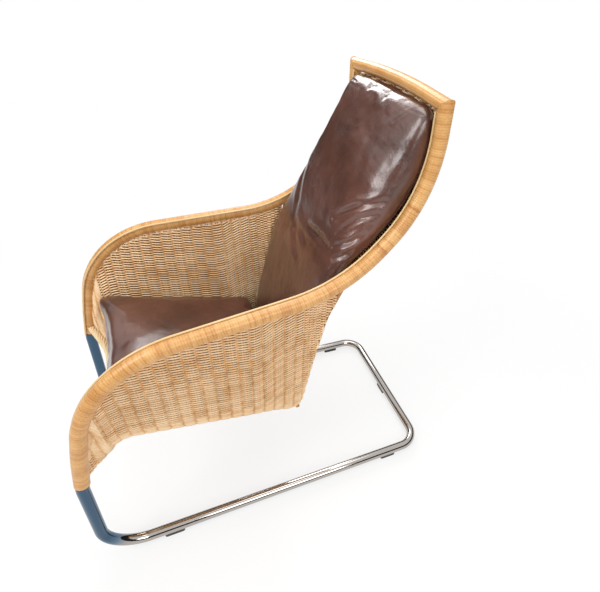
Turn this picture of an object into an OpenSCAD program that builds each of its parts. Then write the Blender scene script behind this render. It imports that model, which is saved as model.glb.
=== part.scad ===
// Cantilever lounge chair: a chromed tube floor loop and front legs carry a
// woven cane shell with a cane wound rim and two loose leather cushions.
// The chair faces -Y, +Z is up, and X = 0 is its plane of symmetry.

/* [Floor loop] */
// Overall depth of the chair, from the front bends to the rear bar
chair_depth = 861; // [820:1:900]
// Distance between the centre lines of the two floor runners
track_w = 476; // [440:1:510]
// Outside diameter of the chromed tube
base_tube_d = 25; // [23:0.5:26]
// Wall thickness of the chromed tube
base_tube_wall = 2; // [1.5:0.1:3]
// Centre line radius of the two front bends
front_bend_r = 88; // [80:1:105]
// Centre line radius of the two rear corners
rear_corner_r = 55; // [45:1:70]

/* [Front legs] */
// Height of the lower end of the wound rim
wrap_end_h = 295; // [288:1:302]
// How far the leg has leaned back at that height
wrap_end_set = 14; // [10:1:20]
// Drop of the small bend in the leg below the wound rim
kink_drop = 18; // [14:1:24]
// Centre line radius of that bend
kink_r = 90; // [60:1:110]
// Length of the plug at the top of the leg, inside the shell frame tube
plug_len = 56; // [40:1:60]
// Diameter of the screw that locks the plug
plug_screw_d = 5; // [4:0.5:6]

/* [Rim] */
// Outside diameter of the shell frame tube
frame_tube_d = 25; // [24:0.2:26]
// Wall thickness of the shell frame tube
frame_tube_wall = 1.5; // [1.2:0.1:2]
// Outside diameter of the cane winding over the frame tube
rim_d = 28.6; // [28:0.2:31]
// Outside diameter of the tube inside the top bar
bar_tube_d = 22; // [20:0.5:22.5]
// Outside diameter of the cane over the top bar
bar_d = 25.6; // [25:0.2:27]
// Height of the rim where it starts to lean back
knee_h = 365; // [355:1:375]
// Distance of that point behind the front corner of the floor loop
knee_set = 30; // [26:1:34]
// Width of the rim at the front of the arms
arm_w = 478; // [460:1:490]
// Height of the front corner of the arms
arm_front_h = 578; // [560:1:590]
// Distance of that corner behind the front corner of the floor loop
arm_front_set = 82; // [75:1:90]
// Width of the rim where the arms turn up into the back
hip_w = 412; // [404:1:420]
// Height of the rear corner of the arms
hip_h = 628; // [620:1:634]
// Distance of that corner behind the front corner of the floor loop
hip_set = 563; // [555:1:572]
// Width of the rim at the shoulder
shoulder_w = 388; // [380:1:396]
// Height of the shoulder corner
shoulder_h = 806; // [795:1:815]
// Distance of the shoulder corner behind the front corner of the floor loop
shoulder_set = 738; // [733:1:744]
// Width between the centre lines at the top bar
top_w = 384; // [376:1:392]
// Height of the top bar
top_h = 973; // [960:1:985]
// Distance of the top bar behind the front corner of the floor loop
top_set = 733; // [728:1:739]
// How far the top bar bows up and back at its middle
top_bow = 10; // [4:1:14]
// Bend radius of the legs at the knee
knee_r = 300; // [200:1:350]
// Bend radius at the front of the arms
arm_r = 220; // [200:1:235]
// Bend radius at the rear of the arms
hip_r = 310; // [290:1:320]
// Bend radius at the shoulder
shoulder_r = 280; // [260:1:290]
// Diameter of the thin cane that edges the rim
edge_cane_d = 4.5; // [4:0.5:6]

/* [Wicker shell] */
// Thickness of the woven cane
weave_t = 6; // [5:0.5:8]
// Height of the underside of the shell at the back of the seat
pan_rear_h = 249; // [242:1:256]
// Height of the shell above its front lip
pan_front_h = 306; // [300:1:310]
// Drop of the front lip below that height
lip_drop = 25; // [18:1:28]
// Radius of the rounding between the walls and the seat
tub_r = 100; // [90:1:108]
// How far each side wall stands in from the middle of the rim above the rounding, at the front
wall_front_in = 27; // [24:1:31]
// How far each side wall stands in from the middle of the rim above the rounding, at the rear
wall_rear_in = 13; // [10:1:16]
// How far the woven back bellies out behind its edges
back_belly = 15; // [8:1:20]
// Diameter of the steel rods inside the shell
rod_d = 10; // [8:0.5:11]
// Distance between the two seat rods
rod_w = 220; // [190:1:240]
// Outside diameter of the plaited roll along the front edge
roll_d = 20; // [18:0.5:24]

/* [Seat cushion] */
// Room between the seat cushion and each side wall at the front
seat_front_room = 5; // [4:1:12]
// Room between the seat cushion and each side wall at the rear
seat_rear_room = 6; // [5:1:13]
// Length of the seat cushion in the middle, from front to rear
seat_len = 345; // [335:1:360]
// How far its two front corners reach forward of the middle
seat_ear = 34; // [20:1:38]
// Height of the front edge of the seat cushion's top
seat_front_h = 448; // [438:1:454]
// Height of the rear edge of the seat cushion's top
seat_rear_h = 376; // [368:1:384]
// Thickness of the leather cover with its lining
cover_t = 3; // [2:0.5:4]

/* [Back cushion] */
// How far each side of the back cushion stands in from the middle of the rim at the top
back_side_in = 16; // [14:1:22]
// Height of the back cushion's lower end above the woven seat's rear end
back_low_rise = 63; // [57:1:80]
// Distance of the back cushion's upper end below the middle of the top bar
back_top_drop = 12; // [10:1:22]
// Height of the small of the back above the cushion's lower end
waist_rise = 283; // [268:1:298]
// Distance of the chest below the cushion's upper end
chest_drop = 134; // [120:1:150]
// Depth from the woven back to the cushion's face at the lower end
back_low_t = 45.5; // [37.5:0.5:53.5]
// Depth from the woven back to the cushion's face at the small of the back
waist_t = 56; // [48:0.5:64]
// Depth from the woven back to the cushion's face at the chest
chest_t = 116.5; // [108.5:0.5:124.5]
// Depth from the woven back to the cushion's face at the upper end
back_top_t = 42; // [34:0.5:50]
// Length of the zip in each cushion
zip_len = 220; // [160:1:230]

/* [Glides] */
// Height of a glide and its sole under the tube
glide_h = 6; // [5:0.5:8]
// Length of a glide along its tube
glide_len = 46; // [36:1:52]
// Width of a glide across its tube
glide_w = 20; // [16:0.5:23]
// Thickness of the pale sole under each glide
sole_t = 1.5; // [1:0.1:2]
// Diameter of the peg that holds a glide in its tube
peg_d = 7; // [5:0.5:8]
// Distance of the front glides behind the front corner of the floor loop
glide_front_set = 141; // [130:1:160]
// Distance of the rear glides in front of the rear bar
glide_rear_set = 104; // [90:1:120]

/* [Fits] */
// Clearance between a part and the seat it rests on
seat_gap = 0.3; // [0.25:0.05:0.4]
// Clearance of a peg or a screw in its hole, on each side
hole_gap = 0.2; // [0.1:0.05:0.3]
// Extra length of a cut past the face that it opens
overrun = 2; // [1:0.5:4]

/* [Hidden] */
$fn = 48;

// Vectors
function unit(v) = v / norm(v);
function turn_between(a, b) = acos(min(1, max(-1, a * b)));
function mix(a, b, share) = a + (b - a) * share;
function smooth(share) = share * share * (3 - 2 * share);
function clamp(v, low, high) = min(high, max(low, v));
function mirrored(points) = [for (p = points) [-p[0], p[1], p[2]]];
function reversed(list) = [for (k = [len(list) - 1 : -1 : 0]) list[k]];

// A bend of radius r at corner b of the path a, b, c
function bend_normal(d1, d2) = unit(d2 - d1 * (d1 * d2));
function bend_reach(d1, d2, r) = r * tan(turn_between(d1, d2) / 2);
function bend_points(a, b, c, r, steps) =
    let (
        d1 = unit(b - a),
        d2 = unit(c - b),
        turn = turn_between(d1, d2),
        inward = bend_normal(d1, d2),
        centre = b - d1 * bend_reach(d1, d2, r) + inward * r
    )
    [for (k = [0 : steps])
        centre - inward * r * cos(turn * k / steps) + d1 * r * sin(turn * k / steps)];

// Points along the centre line of a bent tube
function path_points(corners, radii, steps) = [
    corners[0],
    for (i = [1 : len(corners) - 2])
        each bend_points(corners[i - 1], corners[i], corners[i + 1], radii[i - 1], steps),
    corners[len(corners) - 1]
];

// The last point of a path at a given value along one axis
function path_at(path, axis, value) =
    let (
        before = [for (i = [0 : len(path) - 2]) if (i == 0 || path[i][axis] <= value) i],
        k = before[len(before) - 1],
        span = path[k + 1][axis] - path[k][axis]
    )
    mix(path[k], path[k + 1], (value - path[k][axis]) / span);

// The direction of a path there
function path_dir(path, axis, value) =
    let (
        before = [for (i = [0 : len(path) - 2]) if (i == 0 || path[i][axis] <= value) i],
        k = before[len(before) - 1]
    )
    unit(path[k + 1] - path[k]);

// Floor loop and front legs
floor_z = glide_h + base_tube_d / 2;
leg_rise = wrap_end_h - floor_z;
leg_lean = atan(wrap_end_set / leg_rise);
front_turn = 90 + leg_lean;
front_reach = front_bend_r * tan(front_turn / 2);
front_y = -chair_depth / 2 + base_tube_d / 2 + front_bend_r - front_reach;
rear_y = chair_depth / 2 - base_tube_d / 2;
half_track = track_w / 2;
bend_centre = [front_y + front_reach, floor_z + front_bend_r];
split_turn = asin(seat_gap / 2 / front_bend_r);

function on_bend(x, turn) = [
    x,
    bend_centre[0] - front_bend_r * sin(turn),
    bend_centre[1] - front_bend_r * cos(turn)
];
function along_bend(turn) = [0, -cos(turn), sin(turn)];
function bend_corner(x, from, to) =
    on_bend(x, from) + along_bend(from) * front_bend_r * tan((to - from) / 2);

low_half = front_turn / 2 - split_turn;
high_half = front_turn / 2 + split_turn;
floor_corners = [
    on_bend(half_track, low_half),
    bend_corner(half_track, 0, low_half),
    [half_track, rear_y, floor_z],
    [-half_track, rear_y, floor_z],
    bend_corner(-half_track, 0, low_half),
    on_bend(-half_track, low_half)
];
floor_radii = [front_bend_r, rear_corner_r, rear_corner_r, front_bend_r];

// Rim, left side of the chair, from the leg up to the top bar
leg_kink = [
    half_track,
    front_y + wrap_end_set * (leg_rise - kink_drop) / leg_rise,
    wrap_end_h - kink_drop
];
knee_corner = [half_track, front_y + knee_set, knee_h];
leg_dir = unit(knee_corner - leg_kink);
rim_start = leg_kink + leg_dir * kink_drop / leg_dir[2];
plug_top = rim_start + leg_dir * plug_len;
rim_corners = [
    rim_start,
    knee_corner,
    [arm_w / 2, front_y + arm_front_set, arm_front_h],
    [hip_w / 2, front_y + hip_set, hip_h],
    [shoulder_w / 2, front_y + shoulder_set, shoulder_h],
    [top_w / 2, front_y + top_set, top_h]
];
top_corner = rim_corners[5];
shoulder_corner = rim_corners[4];
top_middle = [0, top_corner[1] + top_bow, top_corner[2] + top_bow];
// The side and the top bar meet in a mitre at the corner
top_rise = unit(top_corner - shoulder_corner);
bar_heading = unit(top_middle - top_corner);
mitre_dir = unit(top_rise + bar_heading);
side_corners = [for (i = [0 : 4]) rim_corners[i], top_corner + top_rise * rim_d];
side_radii = [knee_r, arm_r, hip_r, shoulder_r];
bow_turn = turn_between(bar_heading, unit(mirrored([top_corner])[0] - top_middle));
bar_bow_r = top_w / 3 / tan(bow_turn / 2);
bar_start = top_corner - bar_heading * rim_d;
bar_corners = [bar_start, top_middle, mirrored([bar_start])[0]];
bar_radii = [bar_bow_r];
rim_steps = 6;
rim_path = concat(
    path_points([for (i = [0 : 5]) rim_corners[i]], side_radii, rim_steps),
    [top_middle]
);

// Front roll and the rod inside it, from the left leg to the right leg
roll_leg = rim_start + leg_dir * roll_d;
roll_turn_share = 0.626;
roll_turn_back = 63;
roll_middle_back = 66;
roll_turn_h = wrap_end_h - roll_d * 0.4;
roll_middle_h = pan_front_h - lip_drop;
roll_bend_r = 170;
roll_corners = [
    roll_leg,
    [half_track * roll_turn_share, front_y + roll_turn_back, roll_turn_h],
    [0, front_y + roll_middle_back, roll_middle_h],
    [-half_track * roll_turn_share, front_y + roll_turn_back, roll_turn_h],
    mirrored([roll_leg])[0]
];
roll_middle_r = 600;
roll_radii = [roll_bend_r, roll_middle_r, roll_bend_r];
// The left half, from the middle out to the leg
roll_half = reversed(path_points([for (i = [0 : 2]) roll_corners[i]], [roll_bend_r], rim_steps));
roll_heading = unit(roll_corners[1] - roll_corners[0]);
roll_reach = (roll_d / 2 + weave_t / 2 + seat_gap) / norm([roll_heading[0], roll_heading[2]]);
function roll_y_at(x) = path_at(roll_half, 0, min(abs(x), roll_corners[0][0]))[1];
function roll_at_y(y) = path_at(reversed(roll_half), 1, y);

// Walls and cushions stand in from the rim
wall_front_w = arm_w - 2 * wall_front_in;
wall_rear_w = hip_w - 2 * wall_rear_in;
seat_front_w = wall_front_w - 2 * seat_front_room;
seat_rear_w = wall_rear_w - 2 * seat_rear_room;
back_w = top_w - 2 * back_side_in;
back_low_h = pan_rear_h + back_low_rise;
back_top_h = top_h - back_top_drop;
waist_h = back_low_h + waist_rise;
chest_h = back_top_h - chest_drop;

// Seat rod, left: from the front roll back under the seat and up to the rim
lip_len = 42;
pan_front_y = roll_y_at(rod_w / 2);
pan_rear_set = 434;
pan_rear_y = front_y + pan_rear_set;
corner_back = 42;
corner_in = 16;
rise_mid_set = 499;
rise_mid_h = 395;
rise_top_set = 533;
rise_top_h = 553;
rod_top_drop = 20;
lip_r = 50;
heel_r = 55;
rise_r = 240;
hip_point = path_at(rim_path, 1, front_y + hip_set + rod_top_drop / 4);
edge_ease = 0.9;
lower_clear = rod_d / 2 + seat_gap + edge_ease / 2;
beside_rod = lower_clear + weave_t / 2;
rod_corners = [
    path_at(roll_half, 0, rod_w / 2),
    [rod_w / 2, pan_front_y + lip_len, pan_front_h],
    [rod_w / 2, pan_rear_y - tub_r / 2, pan_rear_h],
    [wall_rear_w / 2 - corner_in, pan_rear_y + corner_back, pan_rear_h + corner_in],
    [wall_rear_w / 2 - beside_rod, front_y + rise_mid_set, rise_mid_h],
    [hip_w / 2 - rim_d / 4 - beside_rod, front_y + rise_top_set, rise_top_h],
    hip_point
];
rod_radii = [lip_r, tub_r / 2, heel_r, rise_r, rise_r];
rod_path = path_points(rod_corners, rod_radii, rim_steps);

// Woven side wall: stations along the rim, each a section at one depth
side_from_h = knee_h - 1.5 * roll_d;
side_columns = 30;
wall_rows = 4;
round_rows = 6;
rim_inset = rim_d / 4;
// Distance of a sheet's edge from the rim's centre line, when its middle stands off to one side
function rim_reach(off) =
    let (near = off - weave_t / 2, r = rim_d / 2 + seat_gap)
    sqrt(r * r - near * near);
rim_hold = rim_reach(rim_inset) + edge_ease;
hip_y = front_y + hip_set - rod_top_drop;

// Rim stations are spread evenly in height up the leg, and closer towards the rear along the arm
leg_columns = 9;
arm_crowding = 1.5;
arm_first_y = front_y + arm_front_set;
arm_first_h = path_at(rim_path, 1, arm_first_y)[2];
function leg_station_h(k) = mix(side_from_h, arm_first_h, k / leg_columns);
function arm_station_y(k) =
    mix(hip_y, arm_first_y, pow((side_columns - k) / (side_columns - leg_columns), arm_crowding));
function rim_station(k) =
    k < leg_columns ? path_at(rim_path, 2, leg_station_h(k)) : path_at(rim_path, 1, arm_station_y(k));
function rim_heading(k) =
    k < leg_columns ? path_dir(rim_path, 2, leg_station_h(k)) : path_dir(rim_path, 1, arm_station_y(k));
function wall_top(k) =
    let (p = rim_station(k), d = rim_heading(k))
    p + unit([0, d[2], -d[1]]) * rim_hold - [rim_inset, 0, 0];

// The lower edge of the wall follows the roll in front and the seat rod behind it
function rod_clear(y) =
    let (d = path_dir(rod_path, 1, y))
    lower_clear * norm([d[0], d[1]]) / max(abs(d[1]), tub_clear_share);
tub_clear_share = 0.5;
function wall_clear(y) = mix(rod_clear(y), beside_rod, clamp(2 * abs(path_dir(rod_path, 1, y)[2]), 0, 1));
fork_y = roll_y_at(rod_w / 2 + lower_clear) + roll_reach;
function wall_foot(y) =
    y < fork_y
    ? roll_at_y(y - roll_reach) + [0, roll_reach, 0]
    : path_at(rod_path, 1, y) + [wall_clear(y), 0, 0];
function wall_w_at(y) =
    mix(wall_front_w, wall_rear_w, clamp((y - pan_front_y) / (pan_rear_y - pan_front_y), 0, 1)) / 2;

function wall_section(top, foot) =
    let (
        round_h = min(tub_r, (top[2] - foot[2]) * 0.7),
        low_x = max(foot[0], min(wall_w_at(top[1]), top[0])),
        knee = [low_x, top[1], foot[2] + round_h]
    )
    concat(
        [for (j = [0 : wall_rows - 1]) mix(top, knee, j / wall_rows)],
        [for (j = [0 : round_rows])
            [
                low_x - (low_x - foot[0]) * (1 - cos(90 * j / round_rows)),
                top[1],
                knee[2] - round_h * sin(90 * j / round_rows)
            ]]
    );

side_grid = [for (k = [0 : side_columns])
    let (top = wall_top(k))
    wall_section(top, wall_foot(top[1]))];

// Woven seat between the two rods
seat_columns = 8;
seat_rows = 14;
function pan_h(y) = path_at(rod_path, 1, y)[2];
seat_to_y = pan_rear_y + corner_back - rod_d / 2 - weave_t / 2;
function seat_edge_at(y) = path_at(rod_path, 1, y)[0] - rod_clear(y) - edge_ease;
function seat_point(row, share) =
    let (
        start = roll_y_at(share * (rod_w / 2 - lower_clear)) + roll_reach,
        y = mix(start, seat_to_y, row)
    )
    [share * seat_edge_at(y), y, pan_h(y)];
seat_grid = [for (k = [0 : seat_rows])
    [for (j = [0 : seat_columns]) seat_point(k / seat_rows, mix(1, -1, j / seat_columns))]];

// Woven back: between the rods below the arms and between the rims above them
back_columns = 10;
back_rows = 18;
back_from_h = pan_rear_h + corner_in + rod_d / 2 + weave_t;
back_to_h = top_h - bar_d / 2 - seat_gap - edge_ease;
blend_low_h = (rise_mid_h + rise_top_h) / 2 + 2 * rod_d;
blend_high_h = hip_h + 2 * rim_d;
blend_rise = blend_high_h - blend_low_h;
rim_back = 9;
function rod_edge(h) = path_at(rod_path, 2, h) - [lower_clear, 0, 0];
function rim_edge(h) = path_at(rim_path, 2, h) + [-rim_reach(rim_back) - edge_ease, rim_back, 0];
// A smooth curve from one point to another that keeps the slope at both
function curve(a, slope_a, b, slope_b, s) =
    a * (1 + 2 * s) * (1 - s) * (1 - s) + slope_a * s * (1 - s) * (1 - s)
    + b * s * s * (3 - 2 * s) - slope_b * s * s * (1 - s);
rod_slope = (rod_edge(blend_low_h) - rod_edge(blend_low_h - rod_d)) / rod_d;
rim_slope = (rim_edge(blend_high_h + rod_d) - rim_edge(blend_high_h)) / rod_d;
function back_edge(h) =
    h <= blend_low_h ? rod_edge(h)
    : h >= blend_high_h ? rim_edge(h)
    : curve(
        rod_edge(blend_low_h),
        rod_slope * blend_rise,
        rim_edge(blend_high_h),
        rim_slope * blend_rise,
        (h - blend_low_h) / blend_rise
    );
function back_span_share(h) = clamp((h - back_from_h) / (back_to_h - back_from_h), 0, 1);
function belly_at(h) = back_belly * min(1, sin(180 * back_span_share(h)) * 1.6);
// A point of the back at height h, share -1 is the right edge and 1 the left edge.
// The top edge rises with the bow of the top bar
bow_rise_share = 0.7;
panel_bow = top_bow * 0.6;
function bow_at(h) =
    let (share = (back_span_share(h) - bow_rise_share) / (1 - bow_rise_share))
    panel_bow * smooth(clamp(share, 0, 1));
corner_power = 8;
corner_dip = 4;
function back_point(h, share) =
    let (edge = back_edge(h), bulge = 1 - share * share, near_top = bow_at(h) / panel_bow)
    [
        edge[0] * share,
        edge[1] + belly_at(h) * bulge,
        h + bow_at(h) * bulge - near_top * corner_dip * pow(abs(share), corner_power)
    ];
back_grid = [for (k = [0 : back_rows])
    let (h = mix(back_from_h, back_to_h, k / back_rows))
    [for (j = [0 : back_columns]) back_point(h, mix(1, -1, j / back_columns))]];

// Cushions: rings of a rounded section
ring_points = 24;
// Unit rounded square, share of the half size at an angle
function round_share(v, power) = sign(v) * pow(abs(v), 2 / power);

// Back cushion: rings at stations up the woven back
back_stations = 20;
// Depths are multiplied by the slant, so that gaps and thicknesses are true across the back
slant_span = 24;
back_middle = [for (row = back_grid) row[back_columns / 2]];
function slant_at(h) =
    let (rise = back_point(h + slant_span, 0) - back_point(h - slant_span, 0))
    norm([rise[1], rise[2]]) / rise[2];
function back_rest_y(h) = path_at(back_middle, 2, h)[1] - weave_t / 2 * slant_at(h);
tape_t = 1.6;
back_gap = tape_t + 2 * seat_gap + 2 * edge_ease;
// The seat cushion ends just in front of the back cushion
back_face_gap = 1.5;
seat_heel_h = (seat_rear_h + pan_rear_h) / 2;
face_r = 600;
function face_corner(h, depth) = [0, back_rest_y(h) - depth, h];
face_path = path_points(
    [
        face_corner(back_low_h, back_low_t),
        face_corner(waist_h, waist_t),
        face_corner(chest_h, chest_t),
        face_corner(back_top_h, back_top_t)
    ],
    [face_r, face_r],
    rim_steps
);
function back_front_y(h) = path_at(face_path, 2, h)[1];
function end_share(t, start_power, end_power) =
    let (power = t > 0 ? end_power : start_power)
    pow(max(0, 1 - pow(abs(t), power)), 1 / power);
// Its corners are squarer across the width than through the thickness
back_low_power = 9;
back_top_power = 5;
back_corner_power = 14;
back_power = 3.2;

function back_ring(t, inset) =
    let (
        h = (back_low_h + back_top_h) / 2 + t * ((back_top_h - back_low_h) / 2 - inset),
        rear = back_rest_y(h) - (back_gap + inset) * slant_at(h),
        front = back_front_y(h) + inset * slant_at(h),
        half_t = (rear - front) / 2 * end_share(t, back_low_power, back_top_power),
        half_w = (back_w / 2 - inset) * end_share(t, back_low_power, back_corner_power),
        middle = (rear + front) / 2,
        edge_x = back_edge(h)[0]
    )
    [for (i = [0 : ring_points - 1])
        let (
            a = 360 * i / ring_points,
            x = half_w * round_share(cos(a), back_power),
            follow = (1 + sin(a)) / 2
        )
        [
            x,
            middle + half_t * round_share(sin(a), back_power)
                - belly_at(h) * follow * (x / edge_x) * (x / edge_x),
            h
        ]];

// Seat cushion: rings at stations from front to rear
seat_stations = 17;
seat_end_y = back_front_y(seat_heel_h) - back_face_gap;
seat_mid_y = seat_end_y - seat_len / 2;
function seat_top_h(y) = mix(seat_front_h, seat_rear_h, (y - seat_end_y + seat_len) / seat_len);
function seat_low_h(y) = pan_h(max(y, pan_front_y + lip_len)) + (weave_t + edge_ease) / 2 + seat_gap;
function seat_half_w(y) = mix(seat_front_w, seat_rear_w, (y - seat_end_y + seat_len) / seat_len) / 2;

// Where the cushion is widest, as a share of its height: its underside rounds into the shell
widest_share = 0.7;
top_power = 6;
low_power = 2.3;
front_power = 4.5;
rear_power = 8;
ear_power = 2.5;

function seat_ring(t, inset) =
    let (
        y = seat_mid_y + t * (seat_len / 2 - inset),
        top = seat_top_h(y) - inset,
        low = seat_low_h(y) + inset,
        middle = mix(low, top, widest_share),
        grow = end_share(t, front_power, rear_power),
        half_w = (seat_half_w(y) - inset) * grow,
        ear = seat_ear * smooth((1 - t) / 2),
        up = (top - middle) * grow,
        down = (middle - low) * grow
    )
    [for (i = [0 : ring_points - 1])
        let (
            a = 360 * i / ring_points,
            power = sin(a) >= 0 ? top_power : low_power,
            x = -half_w * round_share(cos(a), power)
        )
        [
            x,
            y - ear * pow(abs(x) / seat_half_w(y), ear_power),
            middle + (sin(a) >= 0 ? up : down) * round_share(sin(a), power)
        ]];

// Poles sit on the last ring's middle, so the ends are closed
function ring_middle(ring) = ring_sum(ring, 0) / len(ring);
function ring_sum(ring, k) = k == len(ring) ? [0, 0, 0] : ring[k] + ring_sum(ring, k + 1);
end_limit = 0.9995;
function station_share(k, count) = sin(90 * (2 * k / count - 1)) * end_limit;

// A straight piece of round tube from a to b
module straight(a, b, outer_d, inner_d) {
    d = unit(b - a);
    translate(a)
        rotate([0, acos(d[2]), atan2(d[1], d[0])])
            linear_extrude(height = norm(b - a))
                ring_2d(outer_d, inner_d);
}

module ring_2d(outer_d, inner_d) {
    difference() {
        circle(d = outer_d);
        if (inner_d > 0)
            circle(d = inner_d);
    }
}

// A bend of radius r at corner b
module bend(a, b, c, r, outer_d, inner_d) {
    d1 = unit(b - a);
    d2 = unit(c - b);
    start = b - d1 * bend_reach(d1, d2, r);
    ex = -bend_normal(d1, d2);
    ez = cross(ex, d1);
    translate(start - ex * r)
        rotate([atan2(d1[2], ez[2]), -asin(ex[2]), atan2(ex[1], ex[0])])
            rotate_extrude(angle = turn_between(d1, d2))
                translate([r, 0])
                    ring_2d(outer_d, inner_d);
}

// A round tube with straight runs and bends. The bends stand a little proud and the
// straight runs lap into them, so that no two faces are tangent where they meet
bend_swell = 0.25;
run_lap = 0.2;
least_run = 0.5;
module bent_tube(corners, radii, outer_d, inner_d) {
    last = len(corners) - 1;
    dirs = [for (i = [0 : last - 1]) unit(corners[i + 1] - corners[i])];
    reach = [for (i = [0 : last])
        i == 0 || i == last ? 0 : bend_reach(dirs[i - 1], dirs[i], radii[i - 1])];
    for (i = [0 : last - 1]) {
        a = corners[i] + dirs[i] * (reach[i] - (i > 0 ? run_lap : 0));
        b = corners[i + 1] - dirs[i] * (reach[i + 1] - (i < last - 1 ? run_lap : 0));
        if ((b - a) * dirs[i] > least_run)
            straight(a, b, outer_d, inner_d);
    }
    for (i = [1 : last - 1])
        bend(
            corners[i - 1],
            corners[i],
            corners[i + 1],
            radii[i - 1],
            outer_d + bend_swell,
            inner_d > 0 ? inner_d - bend_swell : 0
        );
}

// A sheet of one thickness over a grid of points
function grid_normal(g, i, j) =
    let (
        n = len(g) - 1,
        m = len(g[0]) - 1,
        du = g[min(i + 1, n)][j] - g[max(i - 1, 0)][j],
        dv = g[i][min(j + 1, m)] - g[i][max(j - 1, 0)]
    )
    unit(cross(du, dv));

module sheet(g, thickness) {
    n = len(g);
    m = len(g[0]);
    faces_in = n * m;
    outer = [for (i = [0 : n - 1]) for (j = [0 : m - 1]) g[i][j] + grid_normal(g, i, j) * thickness / 2];
    inner = [for (i = [0 : n - 1]) for (j = [0 : m - 1]) g[i][j] - grid_normal(g, i, j) * thickness / 2];
    polyhedron(
        points = concat(outer, inner),
        faces = [
            for (i = [0 : n - 2]) for (j = [0 : m - 2])
                each [
                    [i * m + j, i * m + j + 1, (i + 1) * m + j],
                    [(i + 1) * m + j, i * m + j + 1, (i + 1) * m + j + 1],
                    [faces_in + i * m + j, faces_in + (i + 1) * m + j, faces_in + i * m + j + 1],
                    [faces_in + (i + 1) * m + j, faces_in + (i + 1) * m + j + 1, faces_in + i * m + j + 1]
                ],
            for (i = [0 : n - 2])
                each [
                    [i * m, (i + 1) * m, faces_in + (i + 1) * m],
                    [i * m, faces_in + (i + 1) * m, faces_in + i * m],
                    [(i + 2) * m - 1, (i + 1) * m - 1, faces_in + (i + 1) * m - 1],
                    [(i + 2) * m - 1, faces_in + (i + 1) * m - 1, faces_in + (i + 2) * m - 1]
                ],
            for (j = [0 : m - 2])
                each [
                    [j + 1, j, faces_in + j],
                    [j + 1, faces_in + j, faces_in + j + 1],
                    [(n - 1) * m + j, (n - 1) * m + j + 1, faces_in + (n - 1) * m + j + 1],
                    [(n - 1) * m + j, faces_in + (n - 1) * m + j + 1, faces_in + (n - 1) * m + j]
                ]
        ]
    );
}

// A closed form through rings of points
module loft(rings) {
    n = len(rings[0]);
    last = len(rings) - 1;
    start_pole = (last + 1) * n;
    end_pole = start_pole + 1;
    polyhedron(
        points = concat(
            [for (ring = rings) each ring],
            [ring_middle(rings[0]), ring_middle(rings[last])]
        ),
        faces = [
            for (k = [0 : last - 1]) for (i = [0 : n - 1])
                each [
                    [k * n + i, (k + 1) * n + i, k * n + (i + 1) % n],
                    [k * n + (i + 1) % n, (k + 1) * n + i, (k + 1) * n + (i + 1) % n]
                ],
            for (i = [0 : n - 1])
                each [
                    [start_pole, i, (i + 1) % n],
                    [end_pole, last * n + (i + 1) % n, last * n + i]
                ]
        ]
    );
}

// Chromed floor loop with the lower halves of the front bends
glide_front_y = front_y + glide_front_set;
glide_rear_y = rear_y - glide_rear_set;
glide_places = [
    [half_track, glide_front_y, 90],
    [-half_track, glide_front_y, 90],
    [half_track, glide_rear_y, 90],
    [-half_track, glide_rear_y, 90],
    [0, rear_y, 0]
];
peg_len = glide_h - sole_t + base_tube_wall + overrun;

module floor_loop() {
    color("silver")
        difference() {
            bent_tube(floor_corners, floor_radii, base_tube_d, base_tube_d - 2 * base_tube_wall);
            for (place = glide_places)
                translate([place[0], place[1], glide_h - overrun])
                    cylinder(d = peg_d + 2 * hole_gap, h = base_tube_wall + 2 * overrun);
        }
}

// Black plastic glide: a saddle under the tube with a peg up into it
glide_corner_r = glide_w / 4;
saddle_h = glide_w / 4;

module rounded_plate(length, width, height, corner_r) {
    linear_extrude(height = height) {
        square([length, width - 2 * corner_r], center = true);
        square([length - 2 * corner_r, width], center = true);
        for (x = [-1, 1]) for (y = [-1, 1])
            translate([x * (length / 2 - corner_r), y * (width / 2 - corner_r)])
                circle(r = corner_r);
    }
}

module glide(place) {
    color([0.1, 0.1, 0.11])
        translate([place[0], place[1], sole_t]) {
            difference() {
                rotate([0, 0, place[2]])
                    rounded_plate(glide_len, glide_w, glide_h - sole_t + saddle_h, glide_corner_r);
                rotate([0, 0, place[2]])
                    translate([-glide_len, 0, floor_z - sole_t])
                        rotate([0, 90, 0])
                            cylinder(d = base_tube_d + 2 * seat_gap, h = 2 * glide_len, $fn = 96);
            }
            cylinder(d = peg_d, h = peg_len);
        }
}

module front_left_glide() { glide(glide_places[0]); }
module front_right_glide() { glide(glide_places[1]); }
module rear_left_glide() { glide(glide_places[2]); }
module rear_right_glide() { glide(glide_places[3]); }
module rear_bar_glide() { glide(glide_places[4]); }

// Pale soles stuck under the five glides
module glide_soles() {
    color([0.62, 0.58, 0.5])
        for (place = glide_places)
            translate([place[0], place[1], 0])
                rotate([0, 0, place[2]])
                    rounded_plate(glide_len, glide_w, sole_t, glide_corner_r);
}

// Chromed leg: the upper half of a front bend, and a thinner plug above the joint
screw_up = plug_len / 2;
frame_bore_d = frame_tube_d - 2 * frame_tube_wall;
plug_d = frame_bore_d - 2 * seat_gap;
screw_at = rim_start + leg_dir * screw_up;
plug_lap = 3 * overrun;

module screw_hole(x) {
    translate([x - frame_tube_d, screw_at[1], screw_at[2]])
        rotate([0, 90, 0])
            cylinder(d = plug_screw_d + 2 * hole_gap, h = 2 * frame_tube_d);
}

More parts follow.
